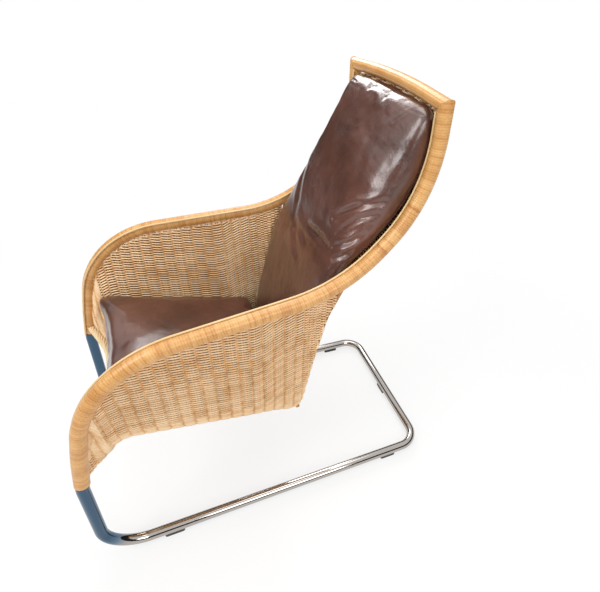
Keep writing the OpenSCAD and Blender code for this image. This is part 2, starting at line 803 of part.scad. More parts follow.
module riser(side) {
    x = side * half_track;
    top = rim_start - leg_dir * seat_gap;
    color([0.25, 0.36, 0.45])
        difference() {
            union() {
                bent_tube(
                    [
                        on_bend(x, high_half),
                        bend_corner(x, high_half, front_turn),
                        [x, leg_kink[1], leg_kink[2]],
                        [x, top[1], top[2]]
                    ],
                    [front_bend_r, kink_r],
                    base_tube_d,
                    base_tube_d - 2 * base_tube_wall
                );
                straight([x, top[1], top[2]] - leg_dir * plug_lap, [x, plug_top[1], plug_top[2]], plug_d, 0);
            }
            screw_hole(x);
        }
}
module left_riser() { riser(1); }
module right_riser() { riser(-1); }

// Screws that lock each leg in its frame tube
module plug_screws() {
    color("dimgray")
        for (side = [-1, 1])
            translate([side * half_track - frame_tube_d / 2, screw_at[1], screw_at[2]])
                rotate([0, 90, 0])
                    cylinder(d = plug_screw_d, h = frame_tube_d);
}

// Everything past the mitre at the left corner, on the bar's side or on the rim's side
module past_mitre(side) {
    straight(
        top_corner - side * mitre_dir * seat_gap / 2,
        top_corner + side * mitre_dir * 3 * rim_d,
        6 * rim_d,
        0
    );
}

// Steel frame tube of one side, hidden inside the cane winding
module side_frame_tube() {
    color("gray")
        difference() {
            bent_tube(side_corners, side_radii, frame_tube_d, frame_bore_d);
            screw_hole(half_track);
            past_mitre(1);
        }
}
module left_frame_tube() { side_frame_tube(); }
module right_frame_tube() { mirror([1, 0, 0]) side_frame_tube(); }

module mitred_bar(outer_d, inner_d) {
    difference() {
        bent_tube(bar_corners, bar_radii, outer_d, inner_d);
        past_mitre(-1);
        mirror([1, 0, 0])
            past_mitre(-1);
    }
}
module top_frame_tube() {
    color("gray")
        mitred_bar(bar_tube_d, bar_tube_d - 2 * frame_tube_wall);
}

// Flat cane wound round the frame tube, open where the rods enter it
wrap_bore_d = frame_tube_d + 2 * seat_gap;
module side_rim_wrap() {
    color([0.85, 0.65, 0.38])
        difference() {
            bent_tube(side_corners, side_radii, rim_d, wrap_bore_d);
            straight(roll_corners[0], roll_corners[1], rod_d + 2 * seat_gap, 0);
            straight(rod_corners[5], rod_corners[6], rod_d + 2 * seat_gap, 0);
            past_mitre(1);
        }
}
module left_rim_wrap() { side_rim_wrap(); }
module right_rim_wrap() { mirror([1, 0, 0]) side_rim_wrap(); }

module top_rim_wrap() {
    color([0.85, 0.65, 0.38])
        mitred_bar(bar_d, bar_tube_d + 2 * seat_gap);
}

// Thin cane laced along the inside of the rim, over the edge of the weave
cane_off = (rim_d + edge_cane_d) / 2 + seat_gap;
cane_lean = 50;
cane_out = cane_off * cos(cane_lean);
function cane_point(p, before, after) =
    let (d = unit(before + after))
    p + unit([0, -d[2], d[1]]) * cane_out / (d * before) - [cane_off * sin(cane_lean), 0, 0];
cane_corners = [for (i = [0 : 5])
    let (
        before = unit(side_corners[max(i, 1)] - side_corners[max(i, 1) - 1]),
        after = unit(side_corners[min(i, 4) + 1] - side_corners[min(i, 4)])
    )
    cane_point(side_corners[i], before, after)];
cane_radii = [knee_r + cane_out, arm_r + cane_out, hip_r - cane_out, shoulder_r - cane_out];

module side_edge_cane() {
    color([0.93, 0.8, 0.58])
        difference() {
            bent_tube(cane_corners, cane_radii, edge_cane_d, 0);
            past_mitre(1);
        }
}
module left_edge_cane() { side_edge_cane(); }
module right_edge_cane() { mirror([1, 0, 0]) side_edge_cane(); }

// Rods inside the shell, cut where they meet the frame tubes
module legs_cut(d) {
    for (side = [-1, 1])
        straight(
            [side * half_track, rim_start[1], rim_start[2]] - leg_dir * plug_len,
            [side * half_track, plug_top[1], plug_top[2]],
            d,
            0
        );
}

module front_cross_rod() {
    color("gray")
        difference() {
            bent_tube(roll_corners, roll_radii, rod_d, 0);
            legs_cut(frame_tube_d + seat_gap);
        }
}

module front_roll() {
    color([0.9, 0.72, 0.47])
        difference() {
            bent_tube(roll_corners, roll_radii, roll_d, rod_d + 2 * seat_gap);
            legs_cut(rim_d + 2 * seat_gap);
        }
}

module side_seat_rod() {
    color("gray")
        difference() {
            bent_tube(rod_corners, rod_radii, rod_d, 0);
            bent_tube(roll_corners, roll_radii, roll_d + 2 * seat_gap, 0);
            bent_tube(side_corners, side_radii, frame_tube_d + seat_gap, 0);
        }
}
module left_seat_rod() { side_seat_rod(); }
module right_seat_rod() { mirror([1, 0, 0]) side_seat_rod(); }

rear_rod_at = rod_corners[3];
module rear_cross_rod() {
    color("gray")
        difference() {
            straight(
                [-rear_rod_at[0], pan_rear_y + corner_back, pan_rear_h + corner_in],
                [rear_rod_at[0], pan_rear_y + corner_back, pan_rear_h + corner_in],
                rod_d,
                0
            );
            for (side = [0, 1])
                mirror([side, 0, 0])
                    bent_tube(rod_corners, rod_radii, rod_d + seat_gap, 0);
        }
}

// Woven cane panels
weave_color = [0.86, 0.64, 0.4];
module left_side_panel() {
    color(weave_color)
        sheet(side_grid, weave_t);
}
module right_side_panel() {
    color(weave_color)
        mirror([1, 0, 0])
            sheet(side_grid, weave_t);
}
module seat_panel() {
    color(weave_color)
        sheet(seat_grid, weave_t);
}
module back_panel() {
    color(weave_color)
        sheet(back_grid, weave_t);
}

// Leather seat cushion with its foam and the zip in its rear edge
leather_color = [0.29, 0.18, 0.15];
function seat_rings(inset) = [for (k = [0 : seat_stations])
    seat_ring(station_share(k, seat_stations), inset)];
zip_h = 6;
zip_t = 1.8;
zip_sink = 0.5;

// A bar along X in a pocket, with its near face sunk by zip_sink; the pocket is open outwards
module zip_bar(gap, out) {
    translate([-zip_len / 2 - gap, -zip_h / 2 - gap, zip_sink - gap - out])
        cube([zip_len + 2 * gap, zip_h + 2 * gap, zip_t + 2 * gap + out]);
}
module seat_zip(gap, out) {
    translate([0, seat_end_y, mix(seat_low_h(seat_end_y), seat_top_h(seat_end_y), widest_share)])
        rotate([90, 0, 0])
            zip_bar(gap, out);
}

module seat_cushion_cover() {
    color(leather_color)
        difference() {
            loft(seat_rings(0));
            loft(seat_rings(cover_t));
            seat_zip(hole_gap, overrun);
        }
}
module seat_cushion_foam() {
    color("khaki")
        loft(seat_rings(cover_t + seat_gap));
}
module seat_cushion_zip() {
    color("goldenrod")
        seat_zip(0, 0);
}

// Leather back cushion with its foam, zip and the tape that holds it
function back_rings(inset) = [for (k = [0 : back_stations])
    back_ring(station_share(k, back_stations), inset)];

module back_zip(gap, out) {
    translate([0, (back_rest_y(back_low_h) + back_front_y(back_low_h) - back_gap) / 2, back_low_h])
        zip_bar(gap, out);
}

module back_cushion_cover() {
    color(leather_color)
        difference() {
            loft(back_rings(0));
            loft(back_rings(cover_t));
            back_zip(hole_gap, overrun);
        }
}
module back_cushion_foam() {
    color("khaki")
        loft(back_rings(cover_t + seat_gap));
}
module back_cushion_zip() {
    color("goldenrod")
        back_zip(0, 0);
}

// Two strips of hook and loop tape between the back cushion and the weave
tape_first_rows = [7, 12];
tape_rows = 2;
tape_column = 3;
function tape_point(k, j) =
    back_grid[k][j] + grid_normal(back_grid, k, j) * (weave_t / 2 + seat_gap + tape_t / 2);
module back_cushion_tape() {
    color("black")
        for (first = tape_first_rows)
            sheet(
                [for (k = [first : first + tape_rows])
                    [for (j = [tape_column : back_columns - tape_column]) tape_point(k, j)]],
                tape_t
            );
}

floor_loop();
front_left_glide();
front_right_glide();
rear_left_glide();
rear_right_glide();
rear_bar_glide();
glide_soles();
left_riser();
right_riser();
plug_screws();
left_frame_tube();
right_frame_tube();
top_frame_tube();
left_rim_wrap();
right_rim_wrap();
top_rim_wrap();
left_edge_cane();
right_edge_cane();
front_cross_rod();
rear_cross_rod();
left_seat_rod();
right_seat_rod();
front_roll();
left_side_panel();
right_side_panel();
seat_panel();
back_panel();
seat_cushion_cover();
seat_cushion_foam();
seat_cushion_zip();
back_cushion_cover();
back_cushion_foam();
back_cushion_zip();
back_cushion_tape();
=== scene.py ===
# %% [markdown]
# # Cantilever lounge chair
# The real chair is one springy chromed tube that carries a woven cane shell, with a
# cane wound rim and two leather cushions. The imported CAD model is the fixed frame:
# every piece made here sits where that frame says, in metres.

import math

import bmesh
import bpy
import numpy as np
from mathutils import Matrix, Vector, noise


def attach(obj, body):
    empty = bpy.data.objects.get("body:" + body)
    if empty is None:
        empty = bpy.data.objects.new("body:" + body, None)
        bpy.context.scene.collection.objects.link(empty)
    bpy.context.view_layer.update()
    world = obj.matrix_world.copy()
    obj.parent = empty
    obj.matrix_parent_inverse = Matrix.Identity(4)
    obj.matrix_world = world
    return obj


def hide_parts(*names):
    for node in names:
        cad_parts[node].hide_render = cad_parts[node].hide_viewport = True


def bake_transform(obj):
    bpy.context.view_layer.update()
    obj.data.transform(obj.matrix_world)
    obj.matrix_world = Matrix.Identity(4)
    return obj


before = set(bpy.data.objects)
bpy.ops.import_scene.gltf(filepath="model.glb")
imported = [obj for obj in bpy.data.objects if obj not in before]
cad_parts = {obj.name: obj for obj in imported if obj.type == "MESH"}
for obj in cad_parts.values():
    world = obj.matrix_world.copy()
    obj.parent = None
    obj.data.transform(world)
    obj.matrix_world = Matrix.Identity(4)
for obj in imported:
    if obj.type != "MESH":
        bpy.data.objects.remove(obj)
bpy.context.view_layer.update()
MM = 0.001

# %% [markdown]
# ## Camera
# The photograph looks down at the chair from its front left. The lens is about 25 mm on
# a 36 mm sensor, and the picture was cropped off centre, which a small shift repeats.

# %% Camera at the photograph's angle
VIEW_TURN, VIEW_DROP, VIEW_ROLL = (math.radians(a) for a in (61.594, 37.052, 6.706))
CAMERA_PLACE = (0.8386, -0.1623, 1.1338)
SENSOR_WIDTH, LENS = 36, 25.5
SHIFT_ACROSS, SHIFT_UP = -0.1001, 0.0084
camera_data = bpy.data.cameras.new("photo_camera")
camera = bpy.data.objects.new("photo_camera", camera_data)
bpy.context.scene.collection.objects.link(camera)
forward = Vector((
    -math.sin(VIEW_TURN) * math.cos(VIEW_DROP),
    math.cos(VIEW_TURN) * math.cos(VIEW_DROP),
    -math.sin(VIEW_DROP),
))
level = Vector((math.cos(VIEW_TURN), math.sin(VIEW_TURN), 0))
upward = level.cross(forward)
rolled_right = level * math.cos(VIEW_ROLL) + upward * math.sin(VIEW_ROLL)
rolled_up = upward * math.cos(VIEW_ROLL) - level * math.sin(VIEW_ROLL)
camera.matrix_world = Matrix((rolled_right, rolled_up, -forward)).transposed().to_4x4()
camera.location = CAMERA_PLACE
camera_data.sensor_fit = "HORIZONTAL"
camera_data.sensor_width = SENSOR_WIDTH
camera_data.lens = LENS
camera_data.shift_x = SHIFT_ACROSS
camera_data.shift_y = SHIFT_UP
bpy.context.scene.camera = camera
print("camera looks along", [round(v, 3) for v in forward])

# %% [markdown]
# ## Node and colour helpers
# Every material and node tree below is built with one small function that adds a node
# with its settings, links and, on a colour ramp, its stops. Colours are written as sRGB hex
# and turned to linear by one function.

# %% Helpers for node trees and colours
def node(tree, kind, links=None, stops=(), **settings):
    """Adds a node; settings name properties or sockets, links fill sockets, stops are (place, hex)."""
    made = tree.nodes.new(kind)
    sockets = {}
    for key, value in settings.items():
        if hasattr(made, key):
            setattr(made, key, value)
        else:
            sockets[key] = value
    for key, value in sockets.items():
        made.inputs[key.replace("_", " ")].default_value = value
    for key, source in (links or {}).items():
        tree.links.new(source, made.inputs[key])
    if stops:
        elements = made.color_ramp.elements
        while len(elements) < len(stops):
            elements.new(0.5)
        for element, (place, colour) in zip(elements, stops):
            element.position = place
            element.color = linear(colour)
    return made


def linear(hex_colour):
    """sRGB hex to linear RGBA."""
    parts = [int(hex_colour[i:i + 2], 16) / 255 for i in (1, 3, 5)]
    return tuple(c / 12.92 if c <= 0.04045 else ((c + 0.055) / 1.055) ** 2.4 for c in parts) + (1.0,)


def new_material(name):
    """A material with a Principled shader, and its tree."""
    made = bpy.data.materials.new(name)
    made.use_nodes = True
    tree = made.node_tree
    shader = tree.nodes["Principled BSDF"]
    return made, tree, shader


print("mid grey in linear light:", round(linear("#808080")[0], 3))

# %% [markdown]
# ## Materials
# Chrome plate on bent steel tube: nearly a mirror, so it shows the room. In the photograph
# the two front legs mirror something blue, which is painted here as a tint that fades
# out down the front bends, because a plain studio has nothing blue to mirror.

# %% Chrome plated tube
BLUE_REFLECTION_H = (0.03, 0.09)
BLUE_REFLECTION_Y = (-0.30, -0.36)
chrome, tree, shader = new_material("chrome_plated_steel_tube")
place = node(tree, "ShaderNodeTexCoord").outputs["Object"]
apart = node(tree, "ShaderNodeSeparateXYZ", {"Vector": place})
up_leg = node(tree, "ShaderNodeMapRange", {"Value": apart.outputs["Z"]}, interpolation_type="SMOOTHSTEP",
              From_Min=BLUE_REFLECTION_H[0], From_Max=BLUE_REFLECTION_H[1])
at_front = node(tree, "ShaderNodeMapRange", {"Value": apart.outputs["Y"]}, interpolation_type="SMOOTHSTEP",
                From_Min=BLUE_REFLECTION_Y[0], From_Max=BLUE_REFLECTION_Y[1])
# Painted blue reflection: how much blue the front legs get, fading out down the front bends.
blue_reflection = node(tree, "ShaderNodeMath", {0: up_leg.outputs[0], 1: at_front.outputs[0]}, operation="MULTIPLY")
colour = node(tree, "ShaderNodeValToRGB", {"Fac": blue_reflection.outputs[0]},
              stops=((0.0, "#B4AEA9"), (0.5, "#6C8092"), (1.0, "#465E74")))
tree.links.new(colour.outputs["Color"], shader.inputs["Base Color"])
shader.inputs["Metallic"].default_value = 1.0
shader.inputs["Roughness"].default_value = 0.09
print("the tint fades in from", BLUE_REFLECTION_H[0], "to", BLUE_REFLECTION_H[1], "m up the front legs")

# %% [markdown]
# Cane is the bark and core of rattan. The rim is wound with flat strips of the glossy bark,
# the walls are woven from round core cane, which is duller, and the thin edging is pale bark.
# Its tone drifts over patches about 45 mm across. Real fibres are finer than a pixel here, so
# they are drawn about 2.4 mm apart to show. A clear varnish makes the thin coat.

# %% Wound, woven and edging cane
CANE_IOR = 1.5
PATCHES_PER_METRE = 22.0
FIBRES_PER_METRE = 420.0


def cane_material(name, stops, roughness, coat):
    """Varnished cane whose tone follows the piece's own tone attribute, with fine fibres."""
    made, tree, shader = new_material(name)
    place = node(tree, "ShaderNodeTexCoord").outputs["Object"]
    tone = node(tree, "ShaderNodeAttribute", attribute_name="tone").outputs["Fac"]
    patches = node(tree, "ShaderNodeTexNoise", {"Vector": place}, Scale=PATCHES_PER_METRE, Detail=3.0)
    fibres = node(tree, "ShaderNodeTexNoise", {"Vector": place}, Scale=FIBRES_PER_METRE, Detail=2.0)
    mixed = node(tree, "ShaderNodeMath", {0: tone, 1: patches.outputs[0]}, operation="ADD")
    finer = node(tree, "ShaderNodeMath", {0: mixed.outputs[0], 1: fibres.outputs[0]}, operation="ADD")
    share = node(tree, "ShaderNodeMapRange", {"Value": finer.outputs[0]}, From_Min=0.75, From_Max=2.15)
    colour = node(tree, "ShaderNodeValToRGB", {"Fac": share.outputs[0]}, stops=stops)
    relief = node(tree, "ShaderNodeBump", {"Height": fibres.outputs[0]}, Strength=0.25, Distance=0.4 * MM)
    tree.links.new(colour.outputs["Color"], shader.inputs["Base Color"])
    tree.links.new(relief.outputs["Normal"], shader.inputs["Normal"])
    shader.inputs["Roughness"].default_value = roughness
    shader.inputs["IOR"].default_value = CANE_IOR
    shader.inputs["Coat Weight"].default_value = coat
    shader.inputs["Coat Roughness"].default_value = 0.25
    return made


wound_cane = cane_material(
    "wound_flat_cane",
    ((0.1, "#B87C3E"), (0.5, "#D09A58"), (0.9, "#E2B375")),
    roughness=0.38, coat=0.25)
woven_cane = cane_material(
    "woven_round_cane",
    ((0.0, "#7A4A22"), (0.3, "#CB955C"), (0.6, "#EABC86"), (0.95, "#FBDDB4")),
    roughness=0.5, coat=0.1)
pale_cane = cane_material(
    "pale_edging_cane",
    ((0.1, "#DDBB84"), (0.5, "#EACD9C"), (0.9, "#F5E0B8")),
    roughness=0.35, coat=0.3)
print("cane finishes:", wound_cane.name, woven_cane.name, pale_cane.name)

# %% [markdown]
# The cushions are soft aniline leather with a glossy finish: a fine pebbled grain about half a
# millimetre across, drawn here at 1.5 mm so that it shows, with darker and redder patches
# where the hide is worn or stretched. Two reliefs lie only where a cover is drawn tight over
# its foam: gathers about 8 mm apart along the seat cushion's nose, and fine streaks that run
# down from the top of the back cushion.

# %% Glossy brown leather
leather, tree, shader = new_material("glossy_brown_leather")
place = node(tree, "ShaderNodeTexCoord").outputs["Object"]
patches = node(tree, "ShaderNodeTexNoise", {"Vector": place}, Scale=9.0, Detail=4.0, Roughness=0.6)
colour = node(tree, "ShaderNodeValToRGB", {"Fac": patches.outputs[0]},
              stops=((0.3, "#43281F"), (0.5, "#573429"), (0.7, "#6A4236")))
tree.links.new(colour.outputs["Color"], shader.inputs["Base Color"])
GRAIN = 1.5 * MM
NOSE_Y = (-0.315, -0.335)
TOP_H_SPAN = (0.84, 0.93)
WRINKLE_SHARE = 0.8
grain = node(tree, "ShaderNodeTexVoronoi", {"Vector": place}, feature="SMOOTH_F1", Scale=1 / GRAIN)
rumple = node(tree, "ShaderNodeTexNoise", {"Vector": place}, Scale=60.0, Detail=5.0, Roughness=0.65,
              Distortion=0.6)
heights = node(tree, "ShaderNodeMath",
               {0: grain.outputs["Distance"], 1: rumple.outputs[0], 2: rumple.outputs[0]},
               operation="MULTIPLY_ADD")
apart = node(tree, "ShaderNodeSeparateXYZ", {"Vector": place})
nose = node(tree, "ShaderNodeMapRange", {"Value": apart.outputs["Y"]}, From_Min=NOSE_Y[0], From_Max=NOSE_Y[1])
gathers = node(tree, "ShaderNodeTexWave", {"Vector": place}, bands_direction="X", Scale=38.0, Distortion=2.2,
               Detail=2.0, Detail_Scale=1.5)
at_nose = node(tree, "ShaderNodeMath", {0: nose.outputs[0], 1: gathers.outputs["Fac"]}, operation="MULTIPLY")
near_top = node(tree, "ShaderNodeMapRange", {"Value": apart.outputs["Z"]},
                From_Min=TOP_H_SPAN[0], From_Max=TOP_H_SPAN[1])
squeezed = node(tree, "ShaderNodeMapping", {"Vector": place}, Scale=(95.0, 14.0, 9.0))
streaks = node(tree, "ShaderNodeTexNoise", {"Vector": squeezed.outputs[0]}, Scale=1.0, Detail=4.0,
               Roughness=0.6)
at_top = node(tree, "ShaderNodeMath", {0: near_top.outputs[0], 1: streaks.outputs[0]}, operation="MULTIPLY")
wrinkles = node(tree, "ShaderNodeMath", {0: at_nose.outputs[0], 1: at_top.outputs[0]}, operation="ADD")
surface = node(tree, "ShaderNodeMath", {0: wrinkles.outputs[0], 2: heights.outputs[0]},
               operation="MULTIPLY_ADD")
surface.inputs[1].default_value = WRINKLE_SHARE
relief = node(tree, "ShaderNodeBump", {"Height": surface.outputs[0]}, Strength=0.35, Distance=2.2 * MM)
tree.links.new(relief.outputs["Normal"], shader.inputs["Normal"])
gloss = node(tree, "ShaderNodeMapRange", {"Value": patches.outputs[0]}, To_Min=0.24, To_Max=0.34)
tree.links.new(gloss.outputs[0], shader.inputs["Roughness"])
shader.inputs["IOR"].default_value = 1.6
shader.inputs["Coat Weight"].default_value = 0.8
shader.inputs["Coat Roughness"].default_value = 0.2
print("leather grain drawn at", GRAIN / MM, "mm")

# %% [markdown]
# The small parts need less: black nylon glides with a moulded skin, pressed wool felt soles,
# drawn steel, a brass zip and hook and loop tape. One noise mottles each tone and roughens the
# surface, because none of them shows large.

# %% Small materials: glides, soles, steel, zip, tape
def plain_material(name, dark, light, roughness, metallic=0.0, scale=80.0, depth=0.2 * MM):
    """A finish with mottled tone and a fine rough surface."""
    made, tree, shader = new_material(name)
    place = node(tree, "ShaderNodeTexCoord").outputs["Object"]
    mottle = node(tree, "ShaderNodeTexNoise", {"Vector": place}, Scale=scale, Detail=4.0)
    colour = node(tree, "ShaderNodeValToRGB", {"Fac": mottle.outputs[0]}, stops=((0.3, dark), (0.7, light)))
    relief = node(tree, "ShaderNodeBump", {"Height": mottle.outputs[0]}, Strength=0.3, Distance=depth)
    tree.links.new(colour.outputs["Color"], shader.inputs["Base Color"])
    tree.links.new(relief.outputs["Normal"], shader.inputs["Normal"])
    shader.inputs["Roughness"].default_value = roughness
    shader.inputs["Metallic"].default_value = metallic
    return made


nylon = plain_material("moulded_black_nylon", "#101012", "#1C1C1F", 0.45, scale=900.0)
felt = plain_material("pressed_wool_felt", "#8A8272", "#B5AD9A", 0.95, scale=700.0, depth=0.5 * MM)
steel = plain_material("drawn_mild_steel", "#5B5A58", "#7C7B78", 0.45, metallic=1.0, scale=300.0)
zip_metal = plain_material("brass_zip", "#8C6A34", "#B8904E", 0.35, metallic=1.0, scale=500.0)
tape_cloth = plain_material("hook_and_loop_tape", "#0B0B0B", "#191919", 0.95, scale=900.0, depth=0.6 * MM)
# Painted shade: the dark colour of the sheet inside each weave stands for the shade between its faces.
weave_shade_paint = plain_material("painted_shade_inside_weave", "#4A2B13", "#633D1D", 0.8, scale=200.0)
bound_rod = plain_material("cane_bound_rod", "#A06A36", "#C48E50", 0.5, scale=400.0)
print("materials:", len(bpy.data.materials))

# %% [markdown]
# ## Sizes and routes
# The chair's driving sizes are repeated here in millimetres, because the frame holds solids
# and not the lines that they were bent along. All routes are corners with bend radii.

# %% Driving sizes, in millimetres
DEPTH, TRACK, TUBE, FRONT_R, REAR_R, GLIDE = 861, 476, 25, 88, 55, 6
WRAP_H, WRAP_SET, KINK_DROP, KINK_R = 295, 14, 18, 90
RIM, RIM_R, BAR_R = 28.6, 14.3, 12.8
KNEE_H, KNEE_SET, ARM_W, ARM_H, ARM_SET = 365, 30, 478, 578, 82
HIP_W, HIP_H, HIP_SET, SHOULDER_W, SHOULDER_H, SHOULDER_SET = 412, 628, 563, 388, 806, 738
TOP_W, TOP_H, TOP_SET, TOP_BOW = 384, 973, 733, 10
RIM_RADII = [300, 220, 310, 280]
WEAVE, PAN_REAR, PAN_FRONT, LIP, TUB_R = 6, 249, 306, 25, 100
WALL_FRONT, WALL_REAR, BELLY, ROD, ROD_W, ROLL = 424, 386, 15, 10, 220, 20


def vec(x, y, z):
    """A point or a direction."""
    return np.array([x, y, z], float)


def unit(v):
    """The same direction, one long."""
    return v / np.linalg.norm(v)


def mirrored(p):
    """The same points on the chair's other side."""
    return np.array(p) * (-1, 1, 1)


def smooth(s):
    """A share from 0 to 1 that starts and ends softly."""
    return s * s * (3 - 2 * s)


print("rim", RIM, "mm thick, top bar", 2 * BAR_R, "mm thick")

# %% [markdown]
# A real tube is bent on formers, so its centre line is straight lengths joined by arcs. These
# helpers turn corners with radii into such a line, and measure along it.

# %% Bends, lengths and places on a line
BEND_STEPS = 28


def bend_points(a, b, c, radius):
    """Points round a bend of that radius at corner b."""
    d1, d2 = unit(b - a), unit(c - b)
    turn = math.acos(min(1.0, max(-1.0, d1 @ d2)))
    inward = unit(d2 - d1 * (d1 @ d2))
    centre = b - d1 * radius * math.tan(turn / 2) + inward * radius
    angles = np.linspace(0, turn, BEND_STEPS + 1)[:, None]
    return centre - inward * radius * np.cos(angles) + d1 * radius * np.sin(angles)


def bent_path(corners, radii):
    """The centre line through corners, with a bend at each inner one."""
    bends = [bend_points(corners[i], corners[i + 1], corners[i + 2], r) for i, r in enumerate(radii)]
    return np.vstack([corners[:1], *bends, corners[-1:]])


def along(path):
    """The distance along a path at each of its points."""
    return np.concatenate([[0], np.cumsum(np.linalg.norm(np.diff(path, axis=0), axis=1))])


def resampled(path, count):
    """The same path as count points at equal steps."""
    s = along(path)
    t = np.linspace(0, s[-1], count)
    return np.stack([np.interp(t, s, path[:, k]) for k in range(3)], axis=1)


def path_at(path, axis, value):
    """The last point of a path at a value along one axis, or one for each of several values."""
    if np.ndim(value):
        return np.array([path_at(path, axis, v) for v in value])
    before = np.nonzero(path[:-1, axis] <= value)[0]
    k = before[-1] if len(before) else 0
    a, b = path[k], path[k + 1]
    return a + (b - a) * (value - a[axis]) / (b[axis] - a[axis])


print("an arc is drawn in", BEND_STEPS, "steps")

# %% [markdown]
# The rim is the line that everything else hangs from. It leaves the front leg at a slight kink,
# goes over the knee, back along the arm, and up past hip and shoulder to the top corner.

# %% The line of the legs and the left rim
half_track = TRACK / 2
floor_z = GLIDE + TUBE / 2
leg_rise = WRAP_H - floor_z
leg_lean = math.atan(WRAP_SET / leg_rise)
front_reach = FRONT_R * math.tan((math.pi / 2 + leg_lean) / 2)
front_y = -DEPTH / 2 + TUBE / 2 + FRONT_R - front_reach
rear_y = DEPTH / 2 - TUBE / 2
leg_kink = vec(half_track, front_y + WRAP_SET * (leg_rise - KINK_DROP) / leg_rise, WRAP_H - KINK_DROP)
knee = vec(half_track, front_y + KNEE_SET, KNEE_H)
leg_dir = unit(knee - leg_kink)
rim_start = leg_kink + leg_dir * KINK_DROP / leg_dir[2]
top_corner = vec(TOP_W / 2, front_y + TOP_SET, TOP_H)
top_middle = vec(0, top_corner[1] + TOP_BOW, TOP_H + TOP_BOW)
rim_corners = np.array([
    rim_start,
    knee,
    vec(ARM_W / 2, front_y + ARM_SET, ARM_H),
    vec(HIP_W / 2, front_y + HIP_SET, HIP_H),
    vec(SHOULDER_W / 2, front_y + SHOULDER_SET, SHOULDER_H),
    top_corner,
    top_middle,
])
rim_path = np.vstack([bent_path(rim_corners[:6], RIM_RADII), [top_middle]])
print("front corner y, mm:", round(front_y, 2), "rim length, mm:", round(along(rim_path)[-1]))

# %% [markdown]
# Most surfaces here are rings or grids of points joined by faces. One helper makes the mesh at
# its place in the frame and keeps a tone for each point, which the colour of the cane follows.

# %% Turning points into meshes
def mesh_object(name, points, faces, material, tone=None):
    """A mesh from points in millimetres, at its place in the frame, with its own tone."""
    mesh = bpy.data.meshes.new(name)
    mesh.from_pydata((np.asarray(points) * MM).tolist(), [], faces)
    if tone is not None:
        mesh.attributes.new("tone", "FLOAT", "POINT").data.foreach_set("value", np.asarray(tone, np.float32))
    mesh.materials.append(material)
    mesh.validate()
    mesh.polygons.foreach_set("use_smooth", [True] * len(mesh.polygons))
    made = bpy.data.objects.new(name, mesh)
    bpy.context.scene.collection.objects.link(made)
    return made


def frames_along(path):
    """Two directions square to a path at each point, that never twist round it."""
    heading = np.gradient(path, axis=0)
    heading /= np.linalg.norm(heading, axis=1)[:, None]
    side = np.zeros_like(path)
    other = (0.3, 0.2, 1) if abs(heading[0][2]) < 0.9 else (0, 1, 0)
    side[0] = unit(np.cross(heading[0], other))
    for k in range(1, len(path)):
        side[k] = unit(side[k - 1] - heading[k] * (side[k - 1] @ heading[k]))
    return heading, side, np.cross(heading, side)


def tube_faces(rings, sides):
    """Faces of a closed tube of rings, with a pole at each end; points run ring by ring."""
    faces = []
    for k in range(rings - 1):
        for i in range(sides):
            j = (i + 1) % sides
            faces.append((k * sides + i, k * sides + j, (k + 1) * sides + j, (k + 1) * sides + i))
    start, end = rings * sides, rings * sides + 1
    for i in range(sides):
        j = (i + 1) % sides
        faces.append((start, j, i))
        faces.append((end, (rings - 1) * sides + i, (rings - 1) * sides + j))
    return faces


def tube(name, path, radius, sides, material):
    """A round bar along a path, its ends closed."""
    _, side, over = frames_along(path)
    angles = np.linspace(0, 2 * math.pi, sides, endpoint=False)
    points = [p + radius * (math.cos(a) * s + math.sin(a) * o)
              for p, s, o in zip(path, side, over) for a in angles]
    return mesh_object(name, points + [path[0], path[-1]], tube_faces(len(path), sides), material)


# %% [markdown]
# ## Chromed tube
# One length of tube runs from the end of the left rim down to the floor, round the back and
# up again. Only its front bends spring.

# %% The floor loop and legs as one tube
TUBE_RINGS, TUBE_SIDES = 420, 32
chrome_corners = np.array([
    rim_start,
    leg_kink,
    vec(half_track, front_y, floor_z),
    vec(half_track, rear_y, floor_z),
])
chrome_corners = np.vstack([chrome_corners, mirrored(chrome_corners)[::-1]])
chrome_path = bent_path(chrome_corners, [KINK_R, FRONT_R, REAR_R, REAR_R, FRONT_R, KINK_R])
chrome_tube = tube("chrome_tube", resampled(chrome_path, TUBE_RINGS), TUBE / 2, TUBE_SIDES, chrome)
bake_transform(chrome_tube)
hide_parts("floor_loop", "left_riser", "right_riser")
print("tube length, m:", round(along(chrome_path)[-1] * MM, 3))

# %% [markdown]
# Pieces whose CAD solid already has the right shape only get a finish. The rods under the seat
# are steel, but the photograph shows no bare rod there, so they look bound with cane.

# %% Finishes of the CAD pieces that stay as they are
CAD_FINISHES = {
    "front_left_glide": nylon, "front_right_glide": nylon, "rear_left_glide": nylon,
    "rear_right_glide": nylon, "rear_bar_glide": nylon, "glide_soles": felt, "plug_screws": steel,
    "left_frame_tube": steel, "right_frame_tube": steel, "top_frame_tube": steel,
    "front_cross_rod": bound_rod, "rear_cross_rod": bound_rod,
    "left_seat_rod": bound_rod, "right_seat_rod": bound_rod,
    "left_edge_cane": pale_cane, "right_edge_cane": pale_cane,
    "seat_cushion_zip": zip_metal, "back_cushion_zip": zip_metal, "back_cushion_tape": tape_cloth,
}
for name, finish in CAD_FINISHES.items():
    for material_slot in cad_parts[name].material_slots:
        material_slot.material = finish
print(len(CAD_FINISHES), "CAD pieces keep their own solids")

# %% [markdown]
# ## Wound rim
# A flat strip of cane about 5 mm wide is wound round the frame tube, edge to edge. The piece
# is swept as one screw: each point lies as far along the rim as its angle round it, so the
# thin grooves between turns really spiral. A little relief is enough at this distance.

# %% Winding a strip round a path
TURN = 4.8
RINGS_PER_TURN = 4
GROOVE = 0.32
# Painted shade: the tone of each groove ring between turns is lowered by this much.
PAINTED_GROOVE_SHADE = 0.35
DARK_TONE = -1.2


